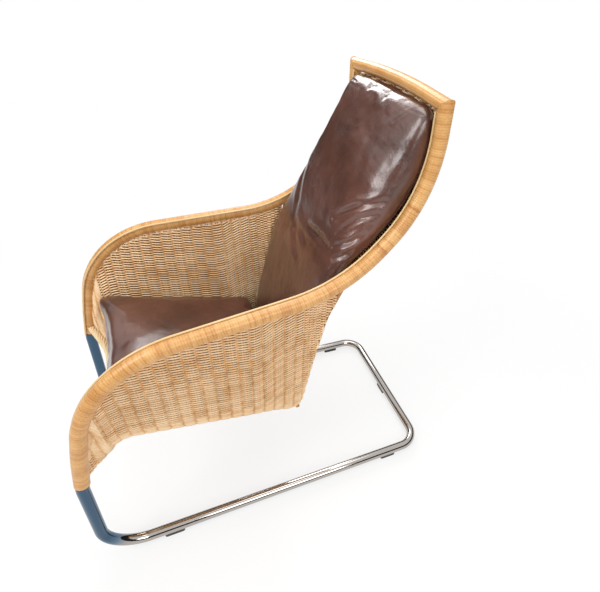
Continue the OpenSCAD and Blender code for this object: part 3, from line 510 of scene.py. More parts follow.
def wound(name, path, dark_heights=(), sides=20):
    """Cane wound round a path, from its first point to its last, with closed ends."""
    length = along(path)[-1]
    turns = int(length / TURN)
    fine = resampled(path, turns * RINGS_PER_TURN * 2)
    s = along(fine)
    heading, side, over = frames_along(fine)
    rng = np.random.default_rng(7)
    tones = rng.uniform(0.25, 0.75, turns + 3)
    for height in dark_heights:
        there = np.interp(height, fine[:, 2][len(fine) // 2:], s[len(fine) // 2:])
        tones[int(there / length * turns) + 1] = DARK_TONE
    angles = np.linspace(0, 2 * math.pi, sides, endpoint=False)
    rings = (turns + 1) * RINGS_PER_TURN + 1
    points, tone = [], []
    for k in range(rings):
        for i, a in enumerate(angles):
            turn_at = k / RINGS_PER_TURN + i / sides
            place = min(max((turn_at - 1) / turns, 0.0), 1.0) * length
            at = [np.interp(place, s, column) for column in (*fine.T, *side.T, *over.T)]
            share = (k % RINGS_PER_TURN) / RINGS_PER_TURN
            radius = RIM_R - GROOVE * (1.0 if share == 0 else 0.0)
            outward = math.cos(a) * np.array(at[3:6]) + math.sin(a) * np.array(at[6:])
            points.append(np.array(at[:3]) + radius * outward)
            tone.append(tones[min(int(turn_at), turns + 2)] - (PAINTED_GROOVE_SHADE if share == 0 else 0.0))
    faces = []
    for k in range(rings - RINGS_PER_TURN):
        for i in range(sides):
            j, step = ((i + 1), 0) if i + 1 < sides else (0, RINGS_PER_TURN)
            if k + 1 + step < rings:
                own, beside = k * sides, (k + step) * sides
                faces.append((own + i, beside + j, beside + sides + j, own + sides + i))
    return mesh_object(name, points, faces, wound_cane, tone)


print("a strip of", TURN, "mm, its grooves", GROOVE, "mm deep")

# %% [markdown]
# The winding is made a little too long and then cut. Where the side rim meets the top bar, both
# are cut by the plane that halves their corner, and each cut is closed with a flat face.

# %% The rim's two sides, cut to a mitre at the top corners
def cap_ends(piece):
    """Fills the open loops of a piece, so that it is closed, and turns its faces outwards."""
    mesh = bmesh.new()
    mesh.from_mesh(piece.data)
    bmesh.ops.holes_fill(mesh, edges=[e for e in mesh.edges if e.is_boundary], sides=0)
    bmesh.ops.recalc_face_normals(mesh, faces=mesh.faces)
    mesh.to_mesh(piece.data)
    mesh.free()


def cut_off(piece, corner, heading):
    """Cuts away what lies past a plane through a corner, square to a heading, and closes the ends."""
    mesh = bmesh.new()
    mesh.from_mesh(piece.data)
    bmesh.ops.bisect_plane(mesh, geom=mesh.verts[:] + mesh.edges[:] + mesh.faces[:], clear_outer=True,
                           plane_co=Vector(corner * MM), plane_no=Vector(heading))
    mesh.to_mesh(piece.data)
    mesh.free()


top_rise = unit(top_corner - rim_corners[4])
bar_heading = unit(top_middle - top_corner)
mitre = unit(top_rise + bar_heading)
side_path = bent_path(np.vstack([rim_corners[:5], [top_corner + top_rise * RIM]]), RIM_RADII)
# Heights of the two turns that show darker
DARK_TURNS = (707, 789)
for name, flip in (("left_rim_wrap", np.array(1)), ("right_rim_wrap", np.array((-1, 1, 1)))):
    piece = wound(name + "_cane", side_path * flip, DARK_TURNS)
    cut_off(piece, top_corner * flip, mitre * flip)
    cap_ends(piece)
    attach(piece, "shell")
    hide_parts(name)
    print(piece.name, len(piece.data.polygons), "faces")

# %% [markdown]
# The top bar carries flat strips laid lengthwise side by side, with fine grooves between, which are painted
# darker as painted shade.

# %% Strips along the top bar
STRIPS, STRIP_SIDES, BAR_RINGS = 16, 4, 60
# Painted shade: the tone of each groove between strips is lowered by this much.
PAINTED_BAR_GROOVE_SHADE = 0.4
bar_start = top_corner - bar_heading * RIM
bow_turn = math.acos(bar_heading @ unit(mirrored(top_corner) - top_middle))
bow_r = TOP_W / 3 / math.tan(bow_turn / 2)
bar_path = resampled(bent_path(np.array([bar_start, top_middle, mirrored(bar_start)]), [bow_r]), BAR_RINGS)
_, bar_side, bar_over = frames_along(bar_path)
strip_tones = np.random.default_rng(4).uniform(0.3, 0.8, STRIPS)
points, tone = [], []
for centre, side, over in zip(bar_path, bar_side, bar_over):
    for i in range(STRIPS * STRIP_SIDES):
        a = 2 * math.pi * i / (STRIPS * STRIP_SIDES)
        groove = i % STRIP_SIDES == 0
        points.append(centre + (BAR_R - GROOVE * groove) * (math.cos(a) * side + math.sin(a) * over))
        tone.append(strip_tones[i // STRIP_SIDES] - PAINTED_BAR_GROOVE_SHADE * groove)
points += [bar_path[0], bar_path[-1]]
tone += [0.5, 0.5]
bar_faces = tube_faces(len(bar_path), STRIPS * STRIP_SIDES)
top_bar = mesh_object("top_rim_wrap_cane", points, bar_faces, wound_cane, tone)
cut_off(top_bar, top_corner, -mitre)
cut_off(top_bar, mirrored(top_corner), -mirrored(mitre))
cap_ends(top_bar)
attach(top_bar, "shell")
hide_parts("top_rim_wrap")
print("top bar", len(top_bar.data.polygons), "faces")

# %% [markdown]
# ## Woven walls
# Round core cane about 4 mm thick is woven row on row round upright stakes, which stand in
# pairs every 25 mm. Each row passes in front of one pair and behind the next, and its
# neighbour does the opposite, which gives upright ribs with small dark gaps between them.
# The walls are first drawn as smooth surfaces, from the same lines as the CAD sheets. Those
# lines are the roll along the front edge and the steel rod in the seat's corner.

# %% Lines of the front roll and of the left seat rod
ROLL_TURN_SHARE, ROLL_TURN_BACK, ROLL_MIDDLE_BACK, ROLL_TURN_DROP = 0.626, 63, 66, 0.4 * ROLL
ROLL_R, ROLL_MIDDLE_R = 170, 600
LIP_LEN, PAN_REAR_SET, CORNER_BACK, CORNER_IN = 42, 434, 42, 16
RISE_MID_SET, RISE_MID_H, RISE_TOP_SET, RISE_TOP_H, ROD_TOP_BACK = 499, 395, 533, 553, 5
LIP_R, HEEL_R, RISE_R = 50, 55, 240
ROD_ROOM = 0.75
roll_leg = rim_start + leg_dir * ROLL
roll_corners = np.array([
    roll_leg,
    vec(half_track * ROLL_TURN_SHARE, front_y + ROLL_TURN_BACK, WRAP_H - ROLL_TURN_DROP),
    vec(0, front_y + ROLL_MIDDLE_BACK, PAN_FRONT - LIP),
])
roll_half = bent_path(roll_corners, [ROLL_R])
roll_out = roll_half[::-1]
roll_reach = ROLL / 2 + WEAVE / 2
pan_front_y = float(path_at(roll_out, 0, ROD_W / 2)[1])
pan_rear_y = front_y + PAN_REAR_SET
rod_beside = ROD / 2 + ROD_ROOM + WEAVE / 2
rod_corners = np.array([
    path_at(roll_out, 0, ROD_W / 2),
    vec(ROD_W / 2, pan_front_y + LIP_LEN, PAN_FRONT),
    vec(ROD_W / 2, pan_rear_y - TUB_R / 2, PAN_REAR),
    vec(WALL_REAR / 2 - CORNER_IN, pan_rear_y + CORNER_BACK, PAN_REAR + CORNER_IN),
    vec(WALL_REAR / 2 - rod_beside, front_y + RISE_MID_SET, RISE_MID_H),
    vec(HIP_W / 2 - RIM / 4 - rod_beside, front_y + RISE_TOP_SET, RISE_TOP_H),
    path_at(rim_path, 1, front_y + HIP_SET + ROD_TOP_BACK),
])
rod_path = bent_path(rod_corners, [LIP_R, TUB_R / 2, HEEL_R, RISE_R, RISE_R])
print("seat from", round(pan_front_y), "to", round(pan_rear_y), "mm")

# %% [markdown]
# The side wall hangs from the rim and rounds in towards the seat. It is drawn as upright
# sections, one behind the other, each from its foot on the roll or the rod up to the rim.

# %% The side wall as a grid
SECTION, LEG_SECTIONS, ARM_SECTIONS = 44, 50, 100
FOOT_REACH_SHARE = 0.8
HIP_STOP = 18
UNDER_RIM = 4


def wall_foot(y):
    """The wall's lower edge at a depth: along the roll in front, then along the seat rod."""
    if y < pan_front_y + roll_reach - 3:
        at = path_at(roll_half, 1, y - roll_reach * FOOT_REACH_SHARE)
        return at + vec(0, roll_reach * FOOT_REACH_SHARE, 0)
    at = path_at(rod_path, 1, y)
    return at + vec(ROD / 2 + 1, 0, 0)


def wall_section(top, foot):
    """One section: straight down from the rim, then round in towards the seat."""
    width = np.interp(top[1], (pan_front_y, pan_rear_y), (WALL_FRONT / 2, WALL_REAR / 2))
    round_h = min(TUB_R, (top[2] - foot[2]) * 0.7)
    low_x = max(foot[0], min(width, top[0]))
    a = np.linspace(0, math.pi / 2, 20)[:, None]
    knee_point = np.array([low_x, top[1], foot[2] + round_h])
    curve = np.hstack([
        low_x - (low_x - foot[0]) * (1 - np.cos(a)),
        np.full_like(a, top[1]),
        knee_point[2] - round_h * np.sin(a),
    ])
    straight = top + (knee_point - top) * np.linspace(0, 1, 12)[:-1, None]
    return resampled(np.vstack([straight, curve]), SECTION)[::-1]


arm_first_y = front_y + ARM_SET
hip_y = front_y + HIP_SET - HIP_STOP
arm_first_h = float(path_at(rim_path, 1, arm_first_y)[2])
leg_tops = path_at(rim_path, 2, np.linspace(KNEE_H - 1.5 * ROLL, arm_first_h, LEG_SECTIONS)[:-1])
arm_tops = path_at(rim_path, 1, np.linspace(arm_first_y, hip_y, ARM_SECTIONS))
wall_tops = np.vstack([leg_tops, arm_tops]) - vec(RIM / 4, 0, 0)
wall_heading = np.gradient(wall_tops, axis=0)
wall_down = np.stack([0 * wall_heading[:, 0], wall_heading[:, 2], -wall_heading[:, 1]], axis=1)
wall_tops = wall_tops + wall_down / np.linalg.norm(wall_down, axis=1)[:, None] * (RIM_R - UNDER_RIM)
wall_grid = np.array([wall_section(top, wall_foot(top[1])) for top in wall_tops])
print("wall grid", wall_grid.shape)

# %% [markdown]
# The seat spans the two rods. The cushion hides it, but it shows from below and behind, so it
# is woven as well, with rows that run across.

# %% The woven seat as a grid
SEAT_COLUMNS, SEAT_ROWS = 60, 90


def pan_height(y):
    """Height of the seat rod at a depth."""
    return np.interp(y, rod_path[:, 1], rod_path[:, 2])


def seat_row(y_share):
    """A line across the seat, at a share of the way from the front roll to the back."""
    rows = []
    for share in np.linspace(1, -1, SEAT_COLUMNS):
        front = float(path_at(roll_out, 0, abs(share) * (ROD_W / 2 - ROD / 2))[1]) + roll_reach
        y = front + (pan_rear_y + CORNER_BACK - ROD / 2 - front) * y_share
        x = float(np.interp(y, rod_path[:, 1], rod_path[:, 0])) - ROD / 2 - 1.5
        rows.append(vec(share * x, y, pan_height(y)))
    return np.array(rows)


seat_grid = np.array([seat_row(s) for s in np.linspace(0, 1, SEAT_ROWS)]).transpose(1, 0, 2)
print("seat grid", seat_grid.shape)

# %% [markdown]
# The back starts between the two rods and ends between the rims, so its edge changes over from
# one line to the other by a smooth curve. It bellies out behind, and its top follows the bar.

# %% The woven back as a grid
BACK_COLUMNS, BACK_ROWS = 60, 120
BELLY_STEEP = 1.6
BOW_SHARE, BOW_FROM = 0.7, 0.7
CORNER_DROP, CORNER_POWER = 4, 8
back_from, back_to = PAN_REAR + CORNER_IN + ROD / 2 + WEAVE, TOP_H - BAR_R - 1.2
blend_low, blend_high = (RISE_MID_H + RISE_TOP_H) / 2 + 20, HIP_H + 2 * RIM


def back_edge(h):
    """The left edge of the woven back at a height: inside the rod, then inside the rim."""
    rise = blend_high - blend_low

    def rod_edge(z):
        """A place beside the rod."""
        return path_at(rod_path, 2, z) - vec(ROD / 2 + 1, 0, 0)

    def rim_edge(z):
        """A place inside and behind the rim."""
        return path_at(rim_path, 2, z) + vec(-RIM_R + 2, 9, 0)

    if h <= blend_low:
        return rod_edge(h)
    if h >= blend_high:
        return rim_edge(h)
    s = (h - blend_low) / rise
    low_slope = (rod_edge(blend_low) - rod_edge(blend_low - 10)) / 10 * rise
    high_slope = (rim_edge(blend_high + 10) - rim_edge(blend_high)) / 10 * rise
    return (rod_edge(blend_low) * (1 + 2 * s) * (1 - s) ** 2 + low_slope * s * (1 - s) ** 2
            + rim_edge(blend_high) * s * s * (3 - 2 * s) - high_slope * s * s * (1 - s))


def up_back(h):
    """How far up the woven back a height is, from 0 to 1."""
    return min(1.0, max(0.0, (h - back_from) / (back_to - back_from)))


def belly_at(h):
    """How far the middle of the back stands out behind its edges at a height."""
    return BELLY * min(1, math.sin(math.pi * up_back(h)) * BELLY_STEEP)


def back_point(h, share):
    """A point of the woven back, share 1 at its left edge and -1 at its right."""
    edge = back_edge(h)
    bow = TOP_BOW * BOW_SHARE * smooth(min(1.0, max(0.0, (up_back(h) - BOW_FROM) / 0.3)))
    bulge = 1 - share * share
    drop = bow / (TOP_BOW * BOW_SHARE) * CORNER_DROP * abs(share) ** CORNER_POWER
    return vec(edge[0] * share, edge[1] + belly_at(h) * bulge, h + bow * bulge - drop)


back_grid = np.array([[back_point(h, share) for h in np.linspace(back_from, back_to, BACK_ROWS)]
                      for share in np.linspace(1, -1, BACK_COLUMNS)])
print("back grid", back_grid.shape)

# %% [markdown]
# Each strand is a line of points. A Geometry Nodes tree turns every line into a round cane,
# so thousands of crossings stay light to describe: points here, thickness in the tree.

# %% Geometry Nodes: lines into round cane
def strand_tree():
    """Mesh edges in, round canes out, with named inputs for thickness, sides and finish."""
    tree = bpy.data.node_groups.new("cane_from_lines", "GeometryNodeTree")
    face = tree.interface
    face.new_socket("Geometry", in_out="INPUT", socket_type="NodeSocketGeometry")
    face.new_socket("Thickness", in_out="INPUT", socket_type="NodeSocketFloat")
    face.new_socket("Sides", in_out="INPUT", socket_type="NodeSocketInt")
    face.new_socket("Finish", in_out="INPUT", socket_type="NodeSocketMaterial")
    face.new_socket("Geometry", in_out="OUTPUT", socket_type="NodeSocketGeometry")
    inputs = node(tree, "NodeGroupInput")
    half = node(tree, "ShaderNodeMath", {0: inputs.outputs["Thickness"]}, operation="MULTIPLY")
    half.inputs[1].default_value = 0.5
    lines = node(tree, "GeometryNodeMeshToCurve", {"Mesh": inputs.outputs["Geometry"]})
    profile = node(tree, "GeometryNodeCurvePrimitiveCircle",
                   {"Resolution": inputs.outputs["Sides"], "Radius": half.outputs[0]})
    canes = node(tree, "GeometryNodeCurveToMesh",
                 {"Curve": lines.outputs["Curve"], "Profile Curve": profile.outputs["Curve"]})
    canes.inputs["Fill Caps"].default_value = True
    rounded = node(tree, "GeometryNodeSetShadeSmooth", {"Geometry": canes.outputs["Mesh"]})
    real = node(tree, "GeometryNodeRealizeInstances", {"Geometry": rounded.outputs["Geometry"]})
    finished = node(tree, "GeometryNodeSetMaterial",
                    {"Geometry": real.outputs["Geometry"], "Material": inputs.outputs["Finish"]})
    node(tree, "NodeGroupOutput", {"Geometry": finished.outputs["Geometry"]})
    return tree


cane_from_lines = strand_tree()
print("the tree has", len(cane_from_lines.nodes), "nodes")


# %% Canes along many lines, as one plain mesh
def canes(name, lines, tones, thickness, material, sides=4):
    """One mesh of round canes along many lines of points in millimetres."""
    points, edges, tone = [], [], []
    for line, shade in zip(lines, tones):
        start = len(points)
        points.extend(line * MM)
        tone.extend(np.broadcast_to(shade, len(line)))
        edges.extend((start + i, start + i + 1) for i in range(len(line) - 1))
    mesh = bpy.data.meshes.new(name)
    mesh.from_pydata([tuple(p) for p in points], edges, [])
    mesh.attributes.new("tone", "FLOAT", "POINT").data.foreach_set("value", np.array(tone, np.float32))
    drawn = bpy.data.objects.new(name + "_lines", mesh)
    bpy.context.scene.collection.objects.link(drawn)
    modifier = drawn.modifiers.new("canes", "NODES")
    modifier.node_group = cane_from_lines
    sockets = {s.name: s.identifier for s in cane_from_lines.interface.items_tree if s.in_out == "INPUT"}
    modifier[sockets["Thickness"]] = thickness * MM
    modifier[sockets["Sides"]] = sides
    modifier[sockets["Finish"]] = material
    depsgraph = bpy.context.evaluated_depsgraph_get()
    result = bpy.data.meshes.new_from_object(drawn.evaluated_get(depsgraph))
    bpy.data.objects.remove(drawn)
    result.name = name
    made = bpy.data.objects.new(name, result)
    bpy.context.scene.collection.objects.link(made)
    print(name, len(lines), "lines,", sum(len(p.vertices) - 2 for p in result.polygons), "triangles")
    return made


# %% [markdown]
# Rows are 3.5 mm apart and a little thicker than that, so they touch. Each row swings in a wave
# round the stakes. It catches the light where it passes in front of or behind a pair, and lies
# in shade where it crosses between two pairs, so it is painted pale on the ribs as painted light
# and darker in the gaps as painted shade. Each cane differs a little from the next, as real ones do.

# %% Sizes of the weave
STAKE_STEP = 25.0
STAKE_PAIR = 5.0
STAKE_D = 3.6
CANE_D = 4.3
ROW_STEP = 3.5
SWING, SWING_FLAT = 1.9, 1.9
RIB_TONE, PAINTED_GAP_SHADE, STAKE_TONE = 0.95, 0.65, -0.2
CANE_SPREAD, STAKE_SPREAD = 0.2, 0.3
MIDDLE_SHARE = 0.55
rng = np.random.default_rng(11)


def grid_normals(grid):
    """The direction square to a grid at each of its points."""
    across = np.cross(np.gradient(grid, axis=0), np.gradient(grid, axis=1))
    return across / np.linalg.norm(across, axis=2)[..., None]


def swing(phase):
    """How far a row stands out: a wave with flat tops, +1 in front of a pair of stakes."""
    return np.clip(np.cos(math.pi * phase) * SWING_FLAT, -1, 1)


print("rows", ROW_STEP, "mm apart, pairs of stakes", STAKE_STEP, "mm apart")

# %% [markdown]
# Rows of a side wall are counted from its foot. The foot rises again at the rear, and `lift`
# takes that rise off, so the rows stay level there; a row is broken off where there is no wall.
# Rows of the seat and the back are spread evenly between their two ends instead.

# %% Weaving rows and stakes over a grid
def weave(name, grid, from_edge, steps=8):
    """Rows of cane along the grid's first direction, stacked along its second, and their stakes."""
    normals = grid_normals(grid)
    middle = grid[:, int(grid.shape[1] * MIDDLE_SHARE)]
    travelled = along(middle)
    count = max(2, round(travelled[-1] / STAKE_STEP))
    step = travelled[-1] / count
    heights = np.array([along(column) for column in grid])
    fine = np.interp(np.arange(count * steps + 1) / steps * step, travelled, np.arange(len(travelled)))

    def at(column, distance):
        """A point and its normal at a fractional column and a distance from the foot."""
        low = int(min(column, len(grid) - 2))
        f = column - low
        out = []
        for field in (grid, normals):
            a = [np.interp(distance(low), heights[low], field[low][:, k]) for k in range(3)]
            b = [np.interp(distance(low + 1), heights[low + 1], field[low + 1][:, k]) for k in range(3)]
            out.append(np.array(a) * (1 - f) + np.array(b) * f)
        return out

    foot = grid[:, 0, 2]
    behind_lowest = np.arange(len(grid)) > foot.argmin()
    lift = np.where(behind_lowest & from_edge, foot - foot.min(), 0.0)
    rows = int((heights[:, -1] + lift).max() / ROW_STEP)
    lines, tones = [], []
    for row in range(rows):
        share = (row + 0.5) / rows
        line, painted_light_and_shade = [], []
        for i, column in enumerate(fine):
            k = int(min(round(column), len(grid) - 1))
            level = (row + 0.5) * ROW_STEP
            if from_edge and not -ROW_STEP / 2 < level - lift[k] < heights[k, -1] + ROW_STEP / 2:
                if len(line) > steps:
                    lines.append(np.array(line))
                    tones.append(np.array(painted_light_and_shade) + rng.uniform(-CANE_SPREAD, CANE_SPREAD))
                line, painted_light_and_shade = [], []
                continue
            if from_edge:
                point, normal = at(column, lambda c: level - lift[c])
            else:
                point, normal = at(column, lambda c: share * heights[c, -1])
            out = swing(i / steps + row % 2)
            line.append(point + normal * SWING * out)
            # Painted light and shade: pale where the row stands out, darker where it crosses between pairs.
            painted_light_and_shade.append(RIB_TONE - PAINTED_GAP_SHADE * (1 - abs(out)))
        if len(line) > 2:
            lines.append(np.array(line))
            tones.append(np.array(painted_light_and_shade) + rng.uniform(-CANE_SPREAD, CANE_SPREAD))
    woven = canes(name, lines, tones, CANE_D, woven_cane)
    stakes = []
    for s in range(count + 1):
        for offset in (-STAKE_PAIR / 2, STAKE_PAIR / 2):
            place = min(max(s * step + offset, 1.0), travelled[-1] - 1.0)
            column = float(np.interp(place, travelled, np.arange(len(travelled))))
            span = np.linspace(0, 1, 40)
            stakes.append(np.array([at(column, lambda c, q=q: q * heights[c, -1])[0] for q in span]))
    stake_tones = rng.uniform(STAKE_TONE, STAKE_TONE + STAKE_SPREAD, len(stakes))
    upright = canes(name + "_stakes", stakes, stake_tones, STAKE_D, woven_cane, sides=6)
    return woven, upright


# %% [markdown]
# Between its two faces a real weave is dark, because the inner sides of its strands never catch
# the light. A thin sheet in the middle of each panel is painted dark as that shade, and closes the gaps.

# %% The painted shade sheet in the middle of a panel
CORE_HALF = 0.5


def core(name, grid):
    """A thin closed sheet in the middle of a weave, painted dark as shade."""
    n, m = grid.shape[:2]
    away = grid_normals(grid) * CORE_HALF
    points = np.concatenate([(grid + away).reshape(-1, 3), (grid - away).reshape(-1, 3)])
    faces = []
    for i in range(n - 1):
        for j in range(m - 1):
            k = i * m + j
            faces.append((k, k + m, k + m + 1, k + 1))
            faces.append((k + n * m, k + n * m + 1, k + n * m + m + 1, k + n * m + m))
    border = ([j for j in range(m)] + [i * m + m - 1 for i in range(1, n)]
              + [(n - 1) * m + j for j in range(m - 2, -1, -1)] + [i * m for i in range(n - 2, 0, -1)])
    for a, b in zip(border, border[1:] + border[:1]):
        faces.append((a, b, b + n * m, a + n * m))
    return mesh_object(name, points, faces, weave_shade_paint)


print("core sheets are", 2 * CORE_HALF, "mm thick")

# %% Weave the four panels
for name, grid, from_edge in (
    ("left_side_panel", wall_grid, True),
    ("right_side_panel", mirrored(wall_grid), True),
    ("seat_panel", seat_grid, False),
    ("back_panel", back_grid, False),
):
    woven, upright = weave(name + "_weave", grid, from_edge)
    inner = core(name + "_core", grid[::2, ::2])
    for piece in (woven, upright, inner):
        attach(piece, "shell")
    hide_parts(name)
    print(inner.name, len(inner.data.polygons), "faces")

# %% [markdown]
# ## Front roll
# The front edge is plaited: strands of cane are laid round the hidden cross rod like a rope.
# Here seven strands run as helices round the rod's own route.

# %% Strands laid round the front rod
ROLL_RINGS = 420
roll_path = bent_path(np.vstack([roll_corners, mirrored(roll_corners[:2])[::-1]]),
                      [ROLL_R, ROLL_MIDDLE_R, ROLL_R])
roll_line = resampled(roll_path, ROLL_RINGS)
_, roll_side, roll_over = frames_along(roll_line)
roll_s = along(roll_line)
STRANDS, STRAND_D, LAY = 7, 6.4, 75.0
strands = []
for k in range(STRANDS):
    a = 2 * math.pi * (k / STRANDS + roll_s / LAY)
    outward = np.cos(a)[:, None] * roll_side + np.sin(a)[:, None] * roll_over
    strands.append(roll_line + (ROLL / 2 - STRAND_D / 2) * outward)
strand_tones = rng.uniform(0.4, 1.0, STRANDS)
front_roll = canes("front_roll_strands", strands, strand_tones, STRAND_D, pale_cane, sides=8)
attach(front_roll, "shell")
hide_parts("front_roll")

# %% [markdown]
# ## Leather cushions
# Each cushion starts as a closed form of rounded rings, a little smaller than the space that
# the frame keeps for it. A cloth simulation then blows it up like a stuffed cover, which
# gives the leather its own small folds. The larger folds of the photograph are pressed in after.

# %% Sizes and shapes shared by both cushions
SEAT_FRONT_W, SEAT_REAR_W, SEAT_LEN, SEAT_EAR, SEAT_FRONT_H, SEAT_REAR_H = 414, 374, 345, 34, 448, 376
BACK_W, BACK_LOW, BACK_HIGH, BACK_GAP = 352, 312, 961, 1
RING = 72
CUSHION_STATIONS = 60
END = 0.9995
INSET = 2


def station_shares(count):
    """Places of the rings from -1 to 1, closer together towards the two rounded ends."""
    return [math.sin(math.pi / 2 * (2 * k / count - 1)) * END for k in range(count + 1)]


def power_share(v, power):
    """Share of the half size on a rounded square: power 2 is a circle, more is squarer."""
    return math.copysign(abs(v) ** (2 / power), v)


def end_share(t, start_power, end_power):
    """How far a ring has grown, t from -1 to 1 between the rounded ends."""
    power = end_power if t > 0 else start_power
    return max(0.0, 1 - abs(t) ** power) ** (1 / power)


def ring_mesh(name, rings, material):
    """A closed mesh through rings of points, with a pole at each end."""
    points = np.vstack([*rings, rings[0].mean(axis=0)[None], rings[-1].mean(axis=0)[None]])
    made = mesh_object(name, points, tube_faces(len(rings), len(rings[0])), material)
    mesh = bmesh.new()
    mesh.from_mesh(made.data)
    bmesh.ops.recalc_face_normals(mesh, faces=mesh.faces)
    mesh.to_mesh(made.data)
    mesh.free()
    return made


print("a cushion is drawn inside its cover by", INSET, "mm, in rings of", RING, "points")

# %% [markdown]
# The back cushion lies against the woven back, so its rear follows that surface and its face
# has a line of its own, through the waist and the chest. Depths are multiplied by the slant of
# the back, so that gaps and thicknesses are true across it. Its top edge keeps half of its
# thickness and is crowned in the middle, under the bowed bar.

# %% Rings of the back cushion
SLANT_SPAN = 24
WAIST_SET, WAIST_H, CHEST_SET, CHEST_H = 511, 595, 621, 827
FACE_LOW_SET, FACE_HIGH_SET, FACE_R = 439, 698, 600
BACK_POWER, REAR_POWER = 3.2, 6
BACK_DEPTH_ENDS, BACK_WIDTH_ENDS = (9, 5), (9, 14)
TOP_EDGE = 0.5
BACK_CROWN = 10
back_face = bent_path(np.array([
    vec(0, front_y + FACE_LOW_SET, BACK_LOW),
    vec(0, front_y + WAIST_SET, WAIST_H),
    vec(0, front_y + CHEST_SET, CHEST_H),
    vec(0, front_y + FACE_HIGH_SET, BACK_HIGH),
]), [FACE_R, FACE_R])


def back_slant(h):
    """How much longer the woven back is than its own rise, at a height."""
    rise = back_point(h + SLANT_SPAN, 0) - back_point(h - SLANT_SPAN, 0)
    return math.hypot(rise[1], rise[2]) / rise[2]


def back_front_y(h):
    """Depth of the cushion's face at a height."""
    return float(path_at(back_face, 2, h)[1])


def back_section(h, t, inset):
    """Half width, front, rear and belly of the back cushion at a height."""
    slant = back_slant(h)
    rear = back_point(h, 0)[1] - (WEAVE / 2 + BACK_GAP + inset) * slant
    front = back_front_y(h) + inset * slant
    grown = end_share(t, *BACK_DEPTH_ENDS)
    half_t = (rear - front) / 2 * (grown if t < 0 else TOP_EDGE + (1 - TOP_EDGE) * grown)
    half_w = (BACK_W / 2 - inset) * end_share(t, *BACK_WIDTH_ENDS)
    middle = rear - half_t if t > 0 else (rear + front) / 2
    return half_w, half_t, middle, belly_at(h)


def back_ring(t, inset):
    """A ring of the back cushion, t from -1 at its lower end to 1 at its top, crowned in the middle."""
    h = (BACK_LOW + BACK_HIGH) / 2 + t * ((BACK_HIGH - BACK_LOW) / 2 - inset)
    half_w, half_t, middle, belly = back_section(h, t, inset)
    edge = back_edge(h)[0]
    ring = []
    for i in range(RING):
        a = 2 * math.pi * i / RING
        power = BACK_POWER if math.sin(a) < 0 else REAR_POWER
        x = half_w * power_share(math.cos(a), power)
        hollow = belly * (1 + math.sin(a)) / 2 * (x / edge) ** 2
        y = middle + half_t * power_share(math.sin(a), power) - hollow
        crown = BACK_CROWN * smooth(min(1.0, max(0.0, t * 4 - 3))) * (1 - (x / half_w) ** 2)
        ring.append(vec(x, y, h + crown))
    return np.array(ring)


def on_face(x, h):
    """The point of the back cushion's face at a place across and a height, in millimetres."""
    t = (h - (BACK_LOW + BACK_HIGH) / 2) / ((BACK_HIGH - BACK_LOW) / 2)
    half_w, half_t, middle, _ = back_section(h, t, 0)
    return vec(x, middle - half_t * max(0.0, 1 - abs(x / half_w) ** BACK_POWER) ** (1 / BACK_POWER), h)


print("back cushion from", BACK_LOW, "to", BACK_HIGH, "mm")

# %% [markdown]
# The seat cushion lies on the woven seat and ends against the back cushion. It is widest high
# up, narrows to its underside, and its two front corners reach forward as ears.

# %% Rings of the seat cushion
WIDEST = 0.7
SEAT_ROOM, REAR_ROOM = 0.8, 1.5
TOP_POWER, UNDER_POWER = 6, 2.3
SEAT_DEPTH_ENDS, SEAT_WIDTH_ENDS = (4.5, 16), (14, 16)
EAR_POWER = 2.5
seat_end_y = back_front_y((SEAT_REAR_H + PAN_REAR) / 2) - REAR_ROOM
seat_start_y = seat_end_y - SEAT_LEN


def seat_ring(t, inset):
    """A ring of the seat cushion, t from -1 at its front to 1 at its rear."""
    y = (seat_start_y + seat_end_y) / 2 + t * (SEAT_LEN / 2 - inset + INSET)
    share = (y - seat_start_y) / SEAT_LEN
    top = SEAT_FRONT_H + (SEAT_REAR_H - SEAT_FRONT_H) * share - inset
    low = float(pan_height(max(y, pan_front_y + LIP_LEN))) + WEAVE / 2 + SEAT_ROOM + inset
    middle = low + (top - low) * WIDEST
    grow, spread = end_share(t, *SEAT_DEPTH_ENDS), end_share(t, *SEAT_WIDTH_ENDS)
    full_w = (SEAT_FRONT_W + (SEAT_REAR_W - SEAT_FRONT_W) * share) / 2
    ear = SEAT_EAR * smooth((1 - t) / 2)
    ring = []
    for i in range(RING):
        a = 2 * math.pi * i / RING
        power = TOP_POWER if math.sin(a) >= 0 else UNDER_POWER
        x = -(full_w - inset) * spread * power_share(math.cos(a), power)
        half_h = (top - middle if math.sin(a) >= 0 else middle - low) * grow
        z = middle + half_h * power_share(math.sin(a), power)
        ring.append(vec(x, y - ear * abs(x / full_w) ** EAR_POWER, z))
    return np.array(ring)


print("seat cushion from", round(seat_start_y), "to", round(seat_end_y), "mm")

# %% [markdown]
# A real cushion is a leather cover pushed out by foam. Here the form is remeshed evenly, blown
# up as cloth under pressure without gravity, and smoothed a little. No point may end more than
# a few millimetres from its start, so the cushion keeps to the room that the frame has for it.

# %% Stuffing a cushion by cloth simulation
VOXEL, CAP = 0.0052, 0.003
PRESSURE = 4.0
SIMULATION_STEPS = 20


def apply_modifiers(piece):
    """Turns what the modifiers show into the piece's own mesh."""
    depsgraph = bpy.context.evaluated_depsgraph_get()
    result = bpy.data.meshes.new_from_object(piece.evaluated_get(depsgraph))
    piece.modifiers.clear()
    old = piece.data
    piece.data = result
    bpy.data.meshes.remove(old)


def read_points(piece, what="co"):
    """The places of a piece's points, or their normals, as rows of three."""
    values = np.empty(len(piece.data.vertices) * 3)
    piece.data.vertices.foreach_get(what, values)
    return values.reshape(-1, 3)


